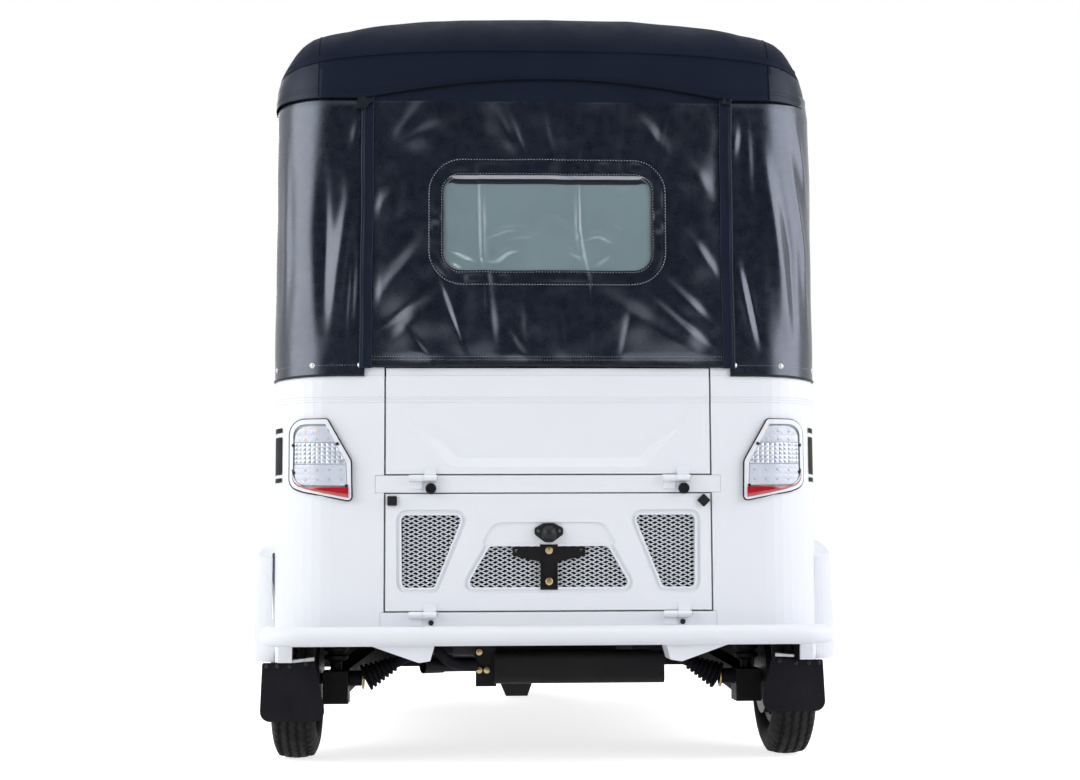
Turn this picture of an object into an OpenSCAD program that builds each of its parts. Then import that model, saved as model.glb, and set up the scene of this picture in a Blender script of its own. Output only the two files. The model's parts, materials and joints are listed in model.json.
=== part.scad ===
// Passenger auto rickshaw: vinyl hood, rear engine, a tailgate over an engine door, raked front fork.
// +X is forward, +Y is left, +Z is up, in millimetres. The origin is on the ground, at the middle of
// the overall length and width.

/* [Overall] */
// Distance between the front and rear axles
wheelbase = 2000; // [1960:10:2100]
// Rear axle to the outer face of the rear doors
axle_to_face = 350; // [345:1:370]
// Outer face of the rear doors to the back of the bumper
bumper_reach = 85; // [80:1:100]
// Width over the side panels
body_w = 1284; // [1276:2:1300]
// Side panel to the middle plane of a rear wheel
wheel_in = 38.5; // [36:0.5:42]
// Top edge of the body's side panels
belt_z = 932; // [920:1:950]
// Height over the hood
roof_z = 1790; // [1760:5:1830]

/* [Body panels] */
// Thickness of the side and rear walls
wall = 20; // [16:1:22]
// Radius of the rear corners in plan
corner_r = 140; // [130:1:145]
// Side panel to the edge of the rear doors
door_in = 266; // [262:1:282]
// Height of the crease that runs round the rear
crease_z = 840; // [800:1:870]
// How far the panels stand out above the crease
crease_step = 2.5; // [1:0.5:4]
// Radius of the rear wheel openings
arch_r = 252; // [246:1:258]
// How far the fenders stand out from the sides
fender_out = 50; // [44:1:56]

/* [Rear doors] */
// Bottom edge of the tailgate
tailgate_z = 680; // [670:1:690]
// Bottom edge of the engine door
engine_door_z = 366; // [360:1:372]
// Height of the crossbar between the two doors
crossbar_h = 39.5; // [36:0.5:44]
// Hinge barrel radius
barrel_r = 7.7; // [7:0.1:7.7]
// Long way of one opening in the expanded metal
mesh_long = 24; // [22:1:30]
// Short way of one opening in the expanded metal
mesh_short = 11; // [10:0.5:14]
// Width of the expanded metal's strands
strand = 3; // [2.5:0.1:3.5]
// Distance between the number plate holes
plate_pitch = 150; // [140:1:154]

/* [Wheels] */
// Tyre radius
tyre_r = 192; // [188:1:200]
// Tyre section width
tyre_w = 106; // [100:1:108]
// Rim radius at the bead seat
rim_r = 101.6; // [100:0.1:103]
// Stub axle radius
axle_r = 14; // [12:0.5:16]

/* [Steering] */
// Lean of the steering axis
rake = 22; // [20:0.5:23]
// Gap between the front tyre and its mudguard
guard_gap = 25; // [20:1:30]
// Half-width of the handlebar
bar_half = 335; // [320:5:350]

/* [Hood] */
// Thickness of the hood's cloth
cloth = 5; // [4:0.5:6]
// Lower edge of the roof's skirt
skirt_z = 1563; // [1540:1:1580]
// Share of the roof's sideways slope that its rear edge takes
rear_lean = 0.4; // [0.3:0.05:0.6]
// Side panel to the edge of the rear curtain
curtain_in = 210; // [202:1:232]
// Edge of the rear curtain to its clear window
window_in = 186; // [172:1:212]

/* [Hidden] */
$fn = 48;
gap = 0.3;
guard_t = 3;
front_reach = tyre_r + guard_gap + guard_t;
length = bumper_reach + axle_to_face + wheelbase + front_reach;
x_face = bumper_reach - length / 2;
x_ra = x_face + axle_to_face;
x_fa = x_ra + wheelbase;
side_y = body_w / 2;
inner_y = side_y - wall;
flat_y = side_y - corner_r;
wheel_y = side_y - wheel_in;
door_half = side_y - door_in;
curtain_half = side_y - curtain_in;
window_half = curtain_half - window_in;
axle_z = tyre_r;
// Tops and bottoms of the rear doors and of the bars between them
tailgate_top = belt_z - 6;
crossbar_top = tailgate_z - 3.5;
crossbar_z = crossbar_top - crossbar_h;
engine_door_top = crossbar_z - 3;
sill_top = engine_door_z - 3.5;
sill_z = 300;
barrel_out = 8;
upper_pin_z = tailgate_z - 10;
lower_pin_z = engine_door_z - 9;
barrel_y = door_half - 86;
barrel_len = 64;
jamb_x = x_face + wall + 2.5;
jamb_t = 22;
floor_z = 290;
floor_t = 15;
floor_top = floor_z + floor_t;
lip_z = floor_z + 55;
front_x = x_fa - 178;
deck_z = 640;
seat_x = x_ra + 132;
quarter_front = seat_x + 421;
post_x = x_fa - 915;
cowl_top = 985;
hood_y = side_y + 0.5 + cloth;
hood_r = corner_r + 0.5 + cloth;
hood_back = x_face - 0.5 - cloth;
hood_front = x_fa - 124;
tube_r = 11;
screen_lean = 12.6;

// Outline helpers: arcs in the corners of a polygon, and prisms along each axis
function unit(v) = v / norm(v);
function turn(a) = a > 180 ? a - 360 : a < -180 ? a + 360 : a;
function corner(p, q, s, r, n) =
    let (a = unit(p - q), b = unit(s - q), half = acos(a * b) / 2,
        c = q + unit(a + b) * r / sin(half), u = q + a * r / tan(half) - c, v = q + b * r / tan(half) - c,
        from = atan2(u[1], u[0]), by = turn(atan2(v[1], v[0]) - from))
    [for (i = [0:n]) c + r * [cos(from + by * i / n), sin(from + by * i / n)]];
function rounded(pts, r, n = 5) =
    let (m = len(pts))
    [for (i = [0:m - 1]) let (k = is_list(r) ? r[i] : r)
        each k > 0 ? corner(pts[(i + m - 1) % m], pts[i], pts[(i + 1) % m], k, n) : [pts[i]]];
function box2(a0, a1, b0, b1) = [[a0, b0], [a1, b0], [a1, b1], [a0, b1]];
function normal(p, q) = let (d = unit(q - p)) [d[1], -d[0]];
function grown(pts, by) =
    let (m = len(pts))
    [for (i = [0:m - 1]) let (a = normal(pts[(i + m - 1) % m], pts[i]), b = normal(pts[i], pts[(i + 1) % m]))
        pts[i] + by * (a + b) / (1 + a * b)];
function bezier(p, q, s, n) =
    [for (i = [0:n]) let (t = i / n) (1 - t) * (1 - t) * p + 2 * t * (1 - t) * q + t * t * s];

module along_x(x0, x1) { translate([x0, 0, 0]) rotate([90, 0, 90]) linear_extrude(x1 - x0) children(); }
module along_y(y0, y1) { translate([0, y1, 0]) rotate([90, 0, 0]) linear_extrude(y1 - y0) children(); }
module along_z(z0, z1) { translate([0, 0, z0]) linear_extrude(z1 - z0) children(); }
module rod_x(r, x0, x1) { translate([x0, 0, 0]) rotate([0, 90, 0]) cylinder(r = r, h = x1 - x0); }
module rod_y(r, y0, y1) { translate([0, y0, 0]) rotate([-90, 0, 0]) cylinder(r = r, h = y1 - y0); }
module spin_y() { rotate([-90, 0, 0]) rotate_extrude() children(); }
module both() { children(); mirror([0, 1, 0]) children(); }
module block(x0, x1, y0, y1, z0, z1) { translate([x0, y0, z0]) cube([x1 - x0, y1 - y0, z1 - z0]); }
module steered() { translate([x_fa, 0, axle_z]) rotate([0, -rake, 0]) children(); }

// Skin between two grids of points that are open on all four sides
module skin(outer, inner) {
    rows = len(outer);
    cols = len(outer[0]);
    pts = [for (r = outer) each r, for (r = inner) each r];
    k = rows * cols;
    function o(i, j) = i * cols + j;
    function n(i, j) = k + i * cols + j;
    polyhedron(pts, [
        for (i = [0:rows - 2], j = [0:cols - 2]) each [
            [o(i, j), o(i + 1, j), o(i + 1, j + 1)], [o(i, j), o(i + 1, j + 1), o(i, j + 1)],
            [n(i, j), n(i + 1, j + 1), n(i + 1, j)], [n(i, j), n(i, j + 1), n(i + 1, j + 1)]],
        for (j = [0:cols - 2]) each [
            [o(0, j), o(0, j + 1), n(0, j + 1)], [o(0, j), n(0, j + 1), n(0, j)],
            [o(rows - 1, j), n(rows - 1, j + 1), o(rows - 1, j + 1)],
            [o(rows - 1, j), n(rows - 1, j), n(rows - 1, j + 1)]],
        for (i = [0:rows - 2]) each [
            [o(i, 0), n(i + 1, 0), o(i + 1, 0)], [o(i, 0), n(i, 0), n(i + 1, 0)],
            [o(i, cols - 1), o(i + 1, cols - 1), n(i + 1, cols - 1)],
            [o(i, cols - 1), n(i + 1, cols - 1), n(i, cols - 1)]]]);
}

// Front cowl: a stack of rounded sections with an arched nose
cowl_rows = 8;
cowl_cols = 24;
nose_r = 715;
nose_z = 600;
nose_x = x_fa + 100;
cowl_z0 = 300;
cowl_w = 604;
cowl_wall = 12;
function cowl_x(z) = nose_x - nose_r + sqrt(nose_r * nose_r - pow(z - nose_z, 2));
function cowl_y(z) = cowl_w - 45 * pow((z - 700) / 400, 2);
function bow(v) = sign(v) * pow(abs(v), 0.62);
function cowl_row(z, in) =
    [for (j = [0:cowl_cols]) let (t = -90 + 180 * j / cowl_cols)
        [front_x + (cowl_x(z) - in - front_x) * bow(max(cos(t), 0)), (cowl_y(z) - in) * bow(sin(t)), z]];
function cowl_level(i) = cowl_z0 + (cowl_top - cowl_z0) * i / cowl_rows;
module cowl_fill(in) {
    rows = [for (i = [0:cowl_rows]) cowl_row(cowl_level(i), in)];
    c = cowl_cols + 1;
    polyhedron([for (r = rows) each r], [
        for (i = [0:cowl_rows - 1], j = [0:c - 2]) each [
            [i * c + j, (i + 1) * c + j, (i + 1) * c + j + 1],
            [i * c + j, (i + 1) * c + j + 1, i * c + j + 1]],
        for (i = [0:cowl_rows - 1]) each [
            [i * c, (i + 1) * c + c - 1, (i + 1) * c], [i * c, i * c + c - 1, (i + 1) * c + c - 1]],
        [for (j = [0:c - 1]) j], [for (j = [c - 1:-1:0]) cowl_rows * c + j]]);
}

// Opening for the steered wheel, widened by a margin
well_half = 212;
well_top = 474;
well_back = x_fa - 262;
module well_shape(m) {
    polygon(rounded(box2(-well_half - m, well_half + m, -well_half, well_top + m), [0, 0, 120, 120]));
}

lamp_y = 345;
lamp_z = 650;
lamp_r = 84;
blinker_y = 470;
blinker_z = 790;
blinker_r = 34;

module front_cowl() color("white") difference() {
    skin([for (i = [0:cowl_rows]) cowl_row(cowl_level(i), 0)],
        [for (i = [0:cowl_rows]) cowl_row(cowl_level(i), cowl_wall)]);
    along_x(front_x - 10, nose_x + 100) well_shape(8);
    both() translate([0, lamp_y, lamp_z]) rod_x(lamp_r + gap, front_x + 60, nose_x + 100);
    both() translate([0, blinker_y, blinker_z]) rod_x(blinker_r + gap, front_x + 60, nose_x + 100);
}

head_from = 285;
head_to = 480;
stem_r = 18;
module front_wheel_well() color("gray") {
    difference() {
        union() {
            difference() {
                along_x(well_back - 8, x_fa + 10) well_shape(8 - gap);
                along_x(well_back, x_fa + 20) well_shape(0);
                block(well_back - 20, x_fa + 30, -400, 400, -300, floor_z);
            }
            steered() translate([0, 0, head_from]) cylinder(r = 32, h = head_to - head_from);
        }
        steered() translate([0, 0, head_from - 20]) cylinder(r = stem_r + gap, h = head_to - head_from + 60);
    }
}

module toe_board() color("gray") difference() {
    intersection() {
        cowl_fill(cowl_wall + 0.5);
        along_y(-cowl_w, cowl_w) polygon([[front_x + gap, cowl_z0], [front_x + 100, cowl_z0],
            [nose_x - 20, cowl_z0 + 170], [nose_x - 20, cowl_z0 + 182], [front_x + 95, cowl_z0 + 12],
            [front_x + gap, cowl_z0 + 12]]);
    }
    along_x(front_x - 10, nose_x + 100) well_shape(8);
}

module dashboard() color("dimgray") intersection() {
    cowl_fill(cowl_wall + 0.5);
    along_y(-cowl_w, cowl_w) polygon([[front_x + 40, cowl_top - 115], [front_x + 60, cowl_top - 125],
        [nose_x - 60, cowl_top - 23], [nose_x - 60, cowl_top], [front_x + 75, cowl_top],
        [front_x + 40, cowl_top - 25]]);
}

// Windscreen: a leaning frame that stands on the cowl's top edge
screen_x = cowl_x(cowl_top) - 26;
screen_half = 575;
screen_len = 652;
screen_rim = 42;
module on_screen() { translate([screen_x, 0, cowl_top]) rotate([0, -screen_lean, 0]) children(); }
module windscreen_frame() color("black") difference() {
    on_screen() along_x(-14, 14) difference() {
        polygon(rounded(box2(-screen_half, screen_half, -30, screen_len), [0, 0, 70, 70]));
        polygon(rounded(grown(box2(-screen_half, screen_half, 0, screen_len), -screen_rim), 40));
    }
    block(screen_x - 100, screen_x + 100, -700, 700, cowl_top - 100, cowl_top + gap);
}
module windscreen_glass() color("lightblue") on_screen() along_x(-3, 3)
    polygon(rounded(grown(box2(-screen_half, screen_half, 0, screen_len), -screen_rim - gap), 40 - gap));
wiper_y = 150;
wiper_z = 22;
module wiper() color("black") on_screen() translate([0, wiper_y, wiper_z]) {
    arm = 6;
    rod_x(11, 14 + gap, 34);
    rotate([-32, 0, 0]) {
        block(22, 28, -arm, arm, 0, 330);
        block(9, 22, -arm + 1, arm - 1, 120, 500);
    }
}

module front_lamps() color("white") both() {
    translate([0, lamp_y, lamp_z]) rotate([0, 90, 0]) rotate_extrude()
        polygon(concat([[0, front_x + 170], [lamp_r, front_x + 170], [lamp_r, nose_x - 2],
            [lamp_r - 8, nose_x + 4]],
            bezier([lamp_r - 8, nose_x + 4], [lamp_r / 2, nose_x + 18], [0, nose_x + 18], 6)));
    translate([0, blinker_y, blinker_z]) rotate([0, 90, 0]) rotate_extrude()
        polygon(concat([[0, front_x + 120], [blinker_r, front_x + 120], [blinker_r, nose_x - 38]],
            bezier([blinker_r, nose_x - 38], [blinker_r, nose_x - 18], [0, nose_x - 18], 5)));
}

mirror_y = 625;
mirror_z = 180;
stalk_r = 7;
module mirrors() color("black") both() on_screen() translate([0, 0, mirror_z]) {
    rod_y(stalk_r, screen_half + gap, mirror_y);
    translate([6, mirror_y, -6]) cylinder(r = stalk_r, h = 60);
    along_x(-6, 18) polygon(rounded(box2(mirror_y - 35, mirror_y + 65, 50, 200), 22));
}

// Floor with raised side lips, and the rails below it
module floor_pan() color("gray") difference() {
    union() {
        block(pivot_x, front_x - gap, -side_y, side_y, floor_z, floor_top);
        both() block(quarter_front + gap, front_x - gap, side_y - 34, side_y, floor_top, lip_z);
    }
    block(well_back - 8 - gap, front_x + 10, -well_half - 8, well_half + 8, floor_z - 10, floor_z + 100);
    both() block(pivot_x - 30, quarter_front + gap, inner_y - gap, side_y + 10, floor_z - 10, floor_z + 100);
}

rail_y = 285;
rail_w = 60;
rail_h = 50;
rail_up = 312;
pivot_x = x_ra + 430;
beam_half = inner_y - 18;
beam_z = 192;
module chassis_rails() color("black") {
    both() along_y(rail_y - rail_w / 2, rail_y + rail_w / 2) polygon([
        [jamb_x + jamb_t + gap, rail_up], [x_ra + 250, rail_up], [x_ra + 420, floor_z - gap - rail_h],
        [well_back - 80, floor_z - gap - rail_h], [well_back - 80, floor_z - gap],
        [x_ra + 425, floor_z - gap], [x_ra + 255, rail_up + rail_h],
        [jamb_x + jamb_t + gap, rail_up + rail_h]]);
    for (x = [x_ra + 140, x_ra + 560, post_x])
        let (z = x < x_ra + 300 ? rail_up : floor_z - gap - rail_h)
        block(x, x + 50, -rail_y, rail_y, z + 4, z + rail_h - 4);
    block(pivot_x + 40, pivot_x + 90, -beam_half, beam_half, beam_z, floor_z - gap);
}

// Seats and the panels that carry them
driver_z = 600;
driver_half = 260;
bench_z = 556;
bench_y = inner_y - 32;
bench_len = 420;
board_t = 15;
cushion_t = 104;
back_top = 1095;
module driver_seat_base() color("gray") along_z(floor_top, driver_z)
    polygon(rounded(box2(post_x + 70, post_x + 370, -driver_half + 25, driver_half - 25), 30));
module driver_seat() color("black") {
    along_y(-driver_half, driver_half) polygon(rounded([[post_x + 66, driver_z + gap],
        [post_x + 400, driver_z + gap], [post_x + 400, driver_z + 90], [post_x + 66, driver_z + 84]],
        [10, 20, 40, 20]));
    along_y(30 - driver_half, driver_half - 30) polygon(rounded(
        box2(post_x + 16, post_x + 62, driver_z + 120, driver_z + 360), [8, 20, 22, 8]));
}
part_y = inner_y - 22;
module partition() color("gray") along_x(post_x - 5, post_x + 16 - gap)
    polygon(rounded([[-part_y, floor_top], [part_y, floor_top], [part_y, driver_z + 40],
        [part_y - 180, driver_z + 300], [180 - part_y, driver_z + 300], [-part_y, driver_z + 40]],
        [0, 0, 90, 60, 60, 90], 6));

module seat_box() color("gray") intersection() {
    along_y(-side_y, side_y) polygon([
        [seat_x + bench_len, floor_top], [seat_x + bench_len, bench_z], [seat_x + board_t, bench_z],
        [seat_x + board_t, back_top - board_t], [seat_x, back_top - board_t], [seat_x, deck_z + wall],
        [jamb_x + jamb_t + gap, deck_z + wall], [jamb_x + jamb_t + gap, deck_z], [seat_x, deck_z],
        [seat_x, bench_z - board_t], [seat_x + bench_len - board_t, bench_z - board_t],
        [seat_x + bench_len - board_t, floor_top]]);
    along_z(0, roof_z) polygon(inside_plan(-wall - gap, x_fa));
}
back_x = seat_x + board_t + gap;
back_z = bench_z + cushion_t;
module passenger_cushion() color("black") along_y(-bench_y, bench_y)
    polygon(rounded([[back_x, bench_z + gap], [back_x + bench_len, bench_z + gap],
        [back_x + bench_len + 5, back_z + 12], [back_x, back_z]], [4, 30, 45, 8]));
module passenger_backrest() color("black") along_y(-bench_y, bench_y)
    polygon(rounded([[back_x, back_z + gap], [back_x + 105, back_z + 12], [back_x + 75, back_top],
        [back_x, back_top]], [0, 30, 35, 20]));

// Rear corner in plan: the door edge, a flat, the corner and the side
function rear_plan(out, from, to) =
    let (r = corner_r + out)
    concat([[x_face - out, from]],
        [for (i = [0:10]) let (a = 90 * i / 10) [x_face + corner_r - r * cos(a), flat_y + r * sin(a)]],
        [[to, side_y + out]]);
function rear_band(out, in, from, to) =
    let (p = rear_plan(in, from, to))
    concat(rear_plan(out, from, to), [for (i = [len(p) - 1:-1:0]) p[i]]);

function inside_plan(out, to) =
    let (p = rear_plan(out, 0, to))
    concat(p, [for (i = [len(p) - 1:-1:1]) [p[i][0], -p[i][1]]]);

crease_bands = 3;
crease_rise = 6;
crease_end = belt_z - 24;
panel_y = door_half + 4;
foot_z = 246;
foot_x = x_face + 75;
module quarter_panel() color("white") difference() {
    union() {
        along_z(sill_z + gap, belt_z) polygon(rear_band(0, -wall, panel_y, quarter_front));
        for (i = [1:crease_bands]) along_z(crease_z + i * crease_rise, crease_end)
            polygon(rear_band(crease_step * i / crease_bands, -wall, panel_y, quarter_front));
        intersection() {
            along_z(foot_z, sill_z + 1) polygon(rear_band(0, -wall, panel_y, x_ra));
            block(foot_x, x_ra, 0, side_y, 0, roof_z);
        }
        intersection() {
            along_z(foot_z, sill_z + 1) polygon(inside_plan(0, x_ra));
            block(foot_x, foot_x + 5, side_y - 48, side_y, 0, roof_z);
        }
        block(x_ra, quarter_front, inner_y, side_y, floor_z, sill_z + 1);
    }
    translate([x_ra, 0, axle_z]) rod_y(arch_r, 0, side_y + 50);
    block(x_face - 10, x_face + wall + 10, 0, door_half + 24, crossbar_z - 0.5, crossbar_top + 0.5);
    block(x_face - 10, x_face + wall + 10, 0, door_half + 12, sill_z - 50, sill_top + 0.5);
}
module quarter_panel_left() quarter_panel();
module quarter_panel_right() mirror([0, 1, 0]) quarter_panel();

frame_rim = 30;
module frame_hole(z0, z1) {
    along_x(jamb_x - 10, jamb_x + 2 * jamb_t)
        polygon(rounded(box2(frame_rim - door_half, door_half - frame_rim, z0, z1), frame_rim));
}
module rear_frame() color("white") {
    difference() {
        along_x(jamb_x, jamb_x + jamb_t) polygon(box2(-door_half - 24, door_half + 24, sill_z, crease_end));
        frame_hole(tailgate_z + 26, tailgate_top - 40);
        frame_hole(engine_door_z + 26, engine_door_top - 26);
    }
    block(x_face, jamb_x + 1, -door_half - 23.5, door_half + 23.5, crossbar_z, crossbar_top);
    block(x_face, jamb_x + 1, -door_half - 11.5, door_half + 11.5, sill_z, sill_top);
}

// Lift-off hinges of one hand: the fixed leaf carries the pin, the knuckle on the door turns on it
hinge_ys = [barrel_y, -barrel_y - 6];
pin_r = 4;
leaf_t = 3;
leaf_h = 25;
module hinges(z) { for (y = hinge_ys) translate([x_face - barrel_out, y, z]) children(); }
module hinge_leaves() color("white") for (z = [upper_pin_z, lower_pin_z]) hinges(z) {
    rod_y(barrel_r, 0, barrel_len / 2);
    rod_y(pin_r, 2 - barrel_len / 2, pin_r);
    block(barrel_out - leaf_t - gap, barrel_out - gap, 2, barrel_len / 2 - 2, -leaf_h, -1);
    block(1, barrel_out - gap, 2, barrel_len / 2 - 2, -8, -1);
}
module knuckles(z) hinges(z) difference() {
    union() {
        rod_y(barrel_r, -barrel_len / 2, -0.5);
        block(1, barrel_out - gap, 2 - barrel_len / 2, -2.5, 1, 8);
        block(barrel_out - leaf_t - gap, barrel_out - gap, 2 - barrel_len / 2, -2.5, 1, leaf_h + 1);
    }
    rod_y(pin_r + gap, -barrel_len, barrel_len);
}
module tailgate_knuckles() color("white") knuckles(upper_pin_z);
module engine_door_knuckles() color("white") knuckles(lower_pin_z);

buffer_r = 12.5;
buffer_len = 18;
module door_buffers() color("black") for (y = hinge_ys)
    translate([x_face, y - buffer_len, crossbar_z + 9]) rotate([0, -90, 0]) rotate_extrude()
        polygon([[0, gap], [buffer_r, gap], [buffer_r, 10], [9, buffer_len], [0, buffer_len]]);

// Tailgate: a creased panel with a scooped pressing that runs out at the crease
scoop_depth = 12;
scoop_edge = rounded([[151 - door_half, tailgate_z + 16], [door_half - 151, tailgate_z + 16],
    [door_half - 58, tailgate_z + 118], [door_half - 46, crease_z - 4], [46 - door_half, crease_z - 4],
    [58 - door_half, tailgate_z + 118]], [36, 36, 20, 6, 6, 20]);
scoop_floor = rounded([[164 - door_half, tailgate_z + 38], [door_half - 164, tailgate_z + 38],
    [door_half - 126, tailgate_z + 80], [126 - door_half, tailgate_z + 80]], [24, 24, 12, 12]);
module tailgate() color("white") difference() {
    union() {
        along_x(x_face, x_face + wall) polygon(box2(-door_half, door_half, tailgate_z, tailgate_top));
        for (i = [1:crease_bands]) along_x(x_face - crease_step * i / crease_bands, x_face + 1)
            polygon(box2(-door_half, door_half, crease_z + i * crease_rise, crease_end));
    }
    hull() {
        along_x(x_face - 1, x_face) polygon(scoop_edge);
        along_x(x_face, x_face + scoop_depth) polygon(scoop_floor);
    }
}

// Engine door: three mesh windows with raised rims in pressed pockets, an arched recess and the plate bracket
hole_foot = engine_door_z + 53;
hole_head = engine_door_top - 49;
mid_head = engine_door_top - 121;
side_hole = [[door_half - 112, hole_foot], [door_half - 38, hole_foot], [door_half - 36, hole_head],
    [door_half - 178, hole_head]];
mid_hole = [[185 - door_half, hole_foot], [door_half - 185, hole_foot], [door_half - 239, mid_head],
    [239 - door_half, mid_head]];
arch_recess = rounded([[218 - door_half, engine_door_top - 117], [door_half - 218, engine_door_top - 117],
    [door_half - 248, engine_door_top - 66], [248 - door_half, engine_door_top - 66]], [6, 6, 34, 34]);
hole_r = 12;
rim_w = 5;
rim_up = 3;
pocket_m = 12;
pocket_t = 4;
plate_z = engine_door_top - 131;
bracket_half = 20;
bracket_foot = engine_door_z + 47;
// Outlines of the three windows, larger or smaller by a margin
module side_outline(m) { polygon(rounded(grown(side_hole, m), hole_r + m)); }
module mid_outline(m) { polygon(rounded(grown(mid_hole, m), hole_r + m)); }
module windows(x0, x1, m) {
    both() along_x(x0, x1) side_outline(m);
    along_x(x0, x1) mid_outline(m);
}
module engine_door() color("white") difference() {
    union() {
        difference() {
            along_x(x_face, x_face + wall)
                polygon(box2(-door_half, door_half, engine_door_z, engine_door_top));
            windows(x_face - 5, x_face + pocket_t, pocket_m);
            along_x(x_face - 5, x_face + pocket_t) polygon(arch_recess);
        }
        windows(x_face + pocket_t - rim_up, x_face + pocket_t + 1, rim_w);
    }
    windows(x_face - 5, x_face + wall + 5, 0);
    block(x_face - 5, x_face + pocket_t, -bracket_half - 1, bracket_half + 1, bracket_foot - 1, plate_z + 15);
}

module diamonds(y0, y1, z0, z1) {
    w = mesh_long - 1.6 * strand;
    h = mesh_short - 1.1 * strand;
    for (j = [0:ceil((z1 - z0) / mesh_short * 2)], i = [0:ceil((y1 - y0) / mesh_long)])
        translate([y0 + (i + (j % 2) / 2) * mesh_long, z0 + j * mesh_short / 2])
            polygon([[-w / 2, 0], [0, -h / 2], [w / 2, 0], [0, h / 2]]);
}
net_in = 5;
net_t = 2;
net_x = x_face + 9;
// Expanded metal: the first outline with diamonds cut out of it inside the second one
module net(y0, y1, z0, z1) {
    difference() {
        children(0);
        intersection() {
            children(1);
            diamonds(y0, y1, z0, z1);
        }
    }
}
module engine_door_mesh() color("white") {
    both() along_x(net_x, net_x + net_t)
        net(door_half - 173, door_half - 41, hole_foot + net_in, hole_head - net_in) {
            side_outline(-0.4);
            side_outline(-net_in);
        }
    along_x(net_x, net_x + net_t)
        net(193 - door_half, door_half - 193, hole_foot + net_in, mid_head - net_in) {
            mid_outline(-0.4);
            mid_outline(-net_in);
        }
}

plate_hole_r = 3.5;
module plate_bracket() color("black") difference() {
    ear = plate_pitch / 2 + 9;
    b = bracket_half;
    union() {
        along_x(x_face + 1, x_face + pocket_t - gap) polygon([[-b, bracket_foot], [b, bracket_foot],
            [b, plate_z - 26], [ear, plate_z - 12], [ear, plate_z + 9], [b, plate_z + 9], [b, plate_z + 14],
            [-b, plate_z + 14], [-b, plate_z + 9], [-ear, plate_z + 9], [-ear, plate_z - 12],
            [-b, plate_z - 26]]);
        both() block(x_face - 4, x_face + 2, b - 3.5, b, bracket_foot + 13, plate_z - 28);
        for (z = [bracket_foot + 19, plate_z]) translate([0, 0, z]) rod_x(6, x_face - 4, x_face + 2);
    }
    both() translate([0, plate_pitch / 2, plate_z]) rod_x(plate_hole_r, x_face - 10, x_face + 10);
}

lamp_dome = 18;
lamp_ear = 25;
lamp_base = rounded([[-9, -24], [9, -24], [33, -6], [33, 9], [12, 20], [-12, 20], [-33, 9], [-33, -6]], 7);
module plate_lamp() color("black") translate([x_face + pocket_t - gap, 0, engine_door_top - 88]) {
    difference() {
        along_x(-6, 0) polygon(lamp_base);
        both() translate([0, lamp_ear, 2]) rod_x(3.5, -20, 20);
    }
    translate([-4, 0, -4]) rod_x(lamp_dome, -8, 0);
    difference() {
        translate([-12, 0, -4]) sphere(r = lamp_dome);
        block(-12, 60, -60, 60, -60, 60);
    }
}

module door_latches() color("black") {
    translate([0, door_half - 15, engine_door_top - 16]) latch();
    translate([0, 16 - door_half, engine_door_top - 16]) rotate([45, 0, 0]) latch();
}
module latch() {
    along_x(x_face - 7, x_face - gap) polygon(rounded(box2(-11, 11, -11, 11), 2.5));
    rod_x(5, x_face - 11, x_face - 6);
}

// Fenders leave the body's rear corners and run out to their full width; the left one gapes a little
fender_r = 346;
fender_t = 6;
fender_run = 40;
fender_tail = 120;
fender_turn = 66;
fender_slant = 10;
fender_power = 2 / 2.8;
fender_back = x_face + 112;
fender_y = side_y - 3;
gape = 6;
gape_z0 = 345;
gape_z1 = 500;
function fender_plan(in) =
    let (w = fender_out + side_y - fender_y - in, back = fender_back + fender_run,
        fore = x_ra + fender_r - fender_tail)
    concat([for (i = [0:8]) let (a = 90 * i / 8)
        [back - (fender_run - in) * cos(a), fender_y + w * sin(a)]],
        [for (i = [8:-1:0]) let (a = 90 * i / 8) [fore + (fender_tail - in) * cos(a), fender_y + w * sin(a)]],
        [[fore + fender_tail - in, 0], [fender_back + in, 0]]);
module fender_section(in) {
    r = fender_out - in;
    polygon(concat([[0, foot_z], [side_y + r, foot_z]],
        [for (i = [0:8]) let (a = 90 * i / 8)
            [side_y + (r - fender_slant) * cos(a),
                axle_z + fender_r - fender_turn + (fender_turn - in) * sin(a)]],
        [[0, axle_z + fender_r - in]]));
}
function fender_side(r) = [for (i = [0:40]) let (a = 180 * i / 40)
    [x_ra + sign(cos(a)) * r * pow(abs(cos(a)), fender_power), axle_z + r * pow(abs(sin(a)), fender_power)]];
module fender_form(in) {
    intersection() {
        along_y(flat_y, side_y + fender_out + 1) polygon(fender_side(fender_r - in));
        along_x(x_ra - fender_r, x_ra + fender_r) fender_section(in);
        along_z(foot_z + in, axle_z + fender_r + 1) polygon(fender_plan(in));
    }
}
module fender() difference() {
    fender_form(0);
    fender_form(fender_t);
    along_z(0, roof_z) polygon(inside_plan(gap, x_fa));
    intersection() {
        translate([x_ra, 0, axle_z]) rod_y(arch_r, 0, side_y + 100);
        block(fender_back + fender_run, x_fa, 0, side_y + 100, 0, roof_z);
    }
}
module fenders() color("white") {
    difference() {
        fender();
        along_z(gape_z0, gape_z1) polygon(inside_plan(gape, fender_back + fender_run));
    }
    mirror([0, 1, 0]) fender();
}
arch_y = side_y - 170;
arch_t = 6;
module wheel_arches() color("black") both() difference() {
    intersection() {
        translate([x_ra, 0, axle_z]) rod_y(arch_r + arch_t, arch_y, side_y);
        along_z(sill_z, roof_z) polygon(inside_plan(-wall - gap, x_fa));
    }
    translate([x_ra, 0, axle_z]) rod_y(arch_r + gap, arch_y + arch_t, side_y + 10);
}
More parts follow.
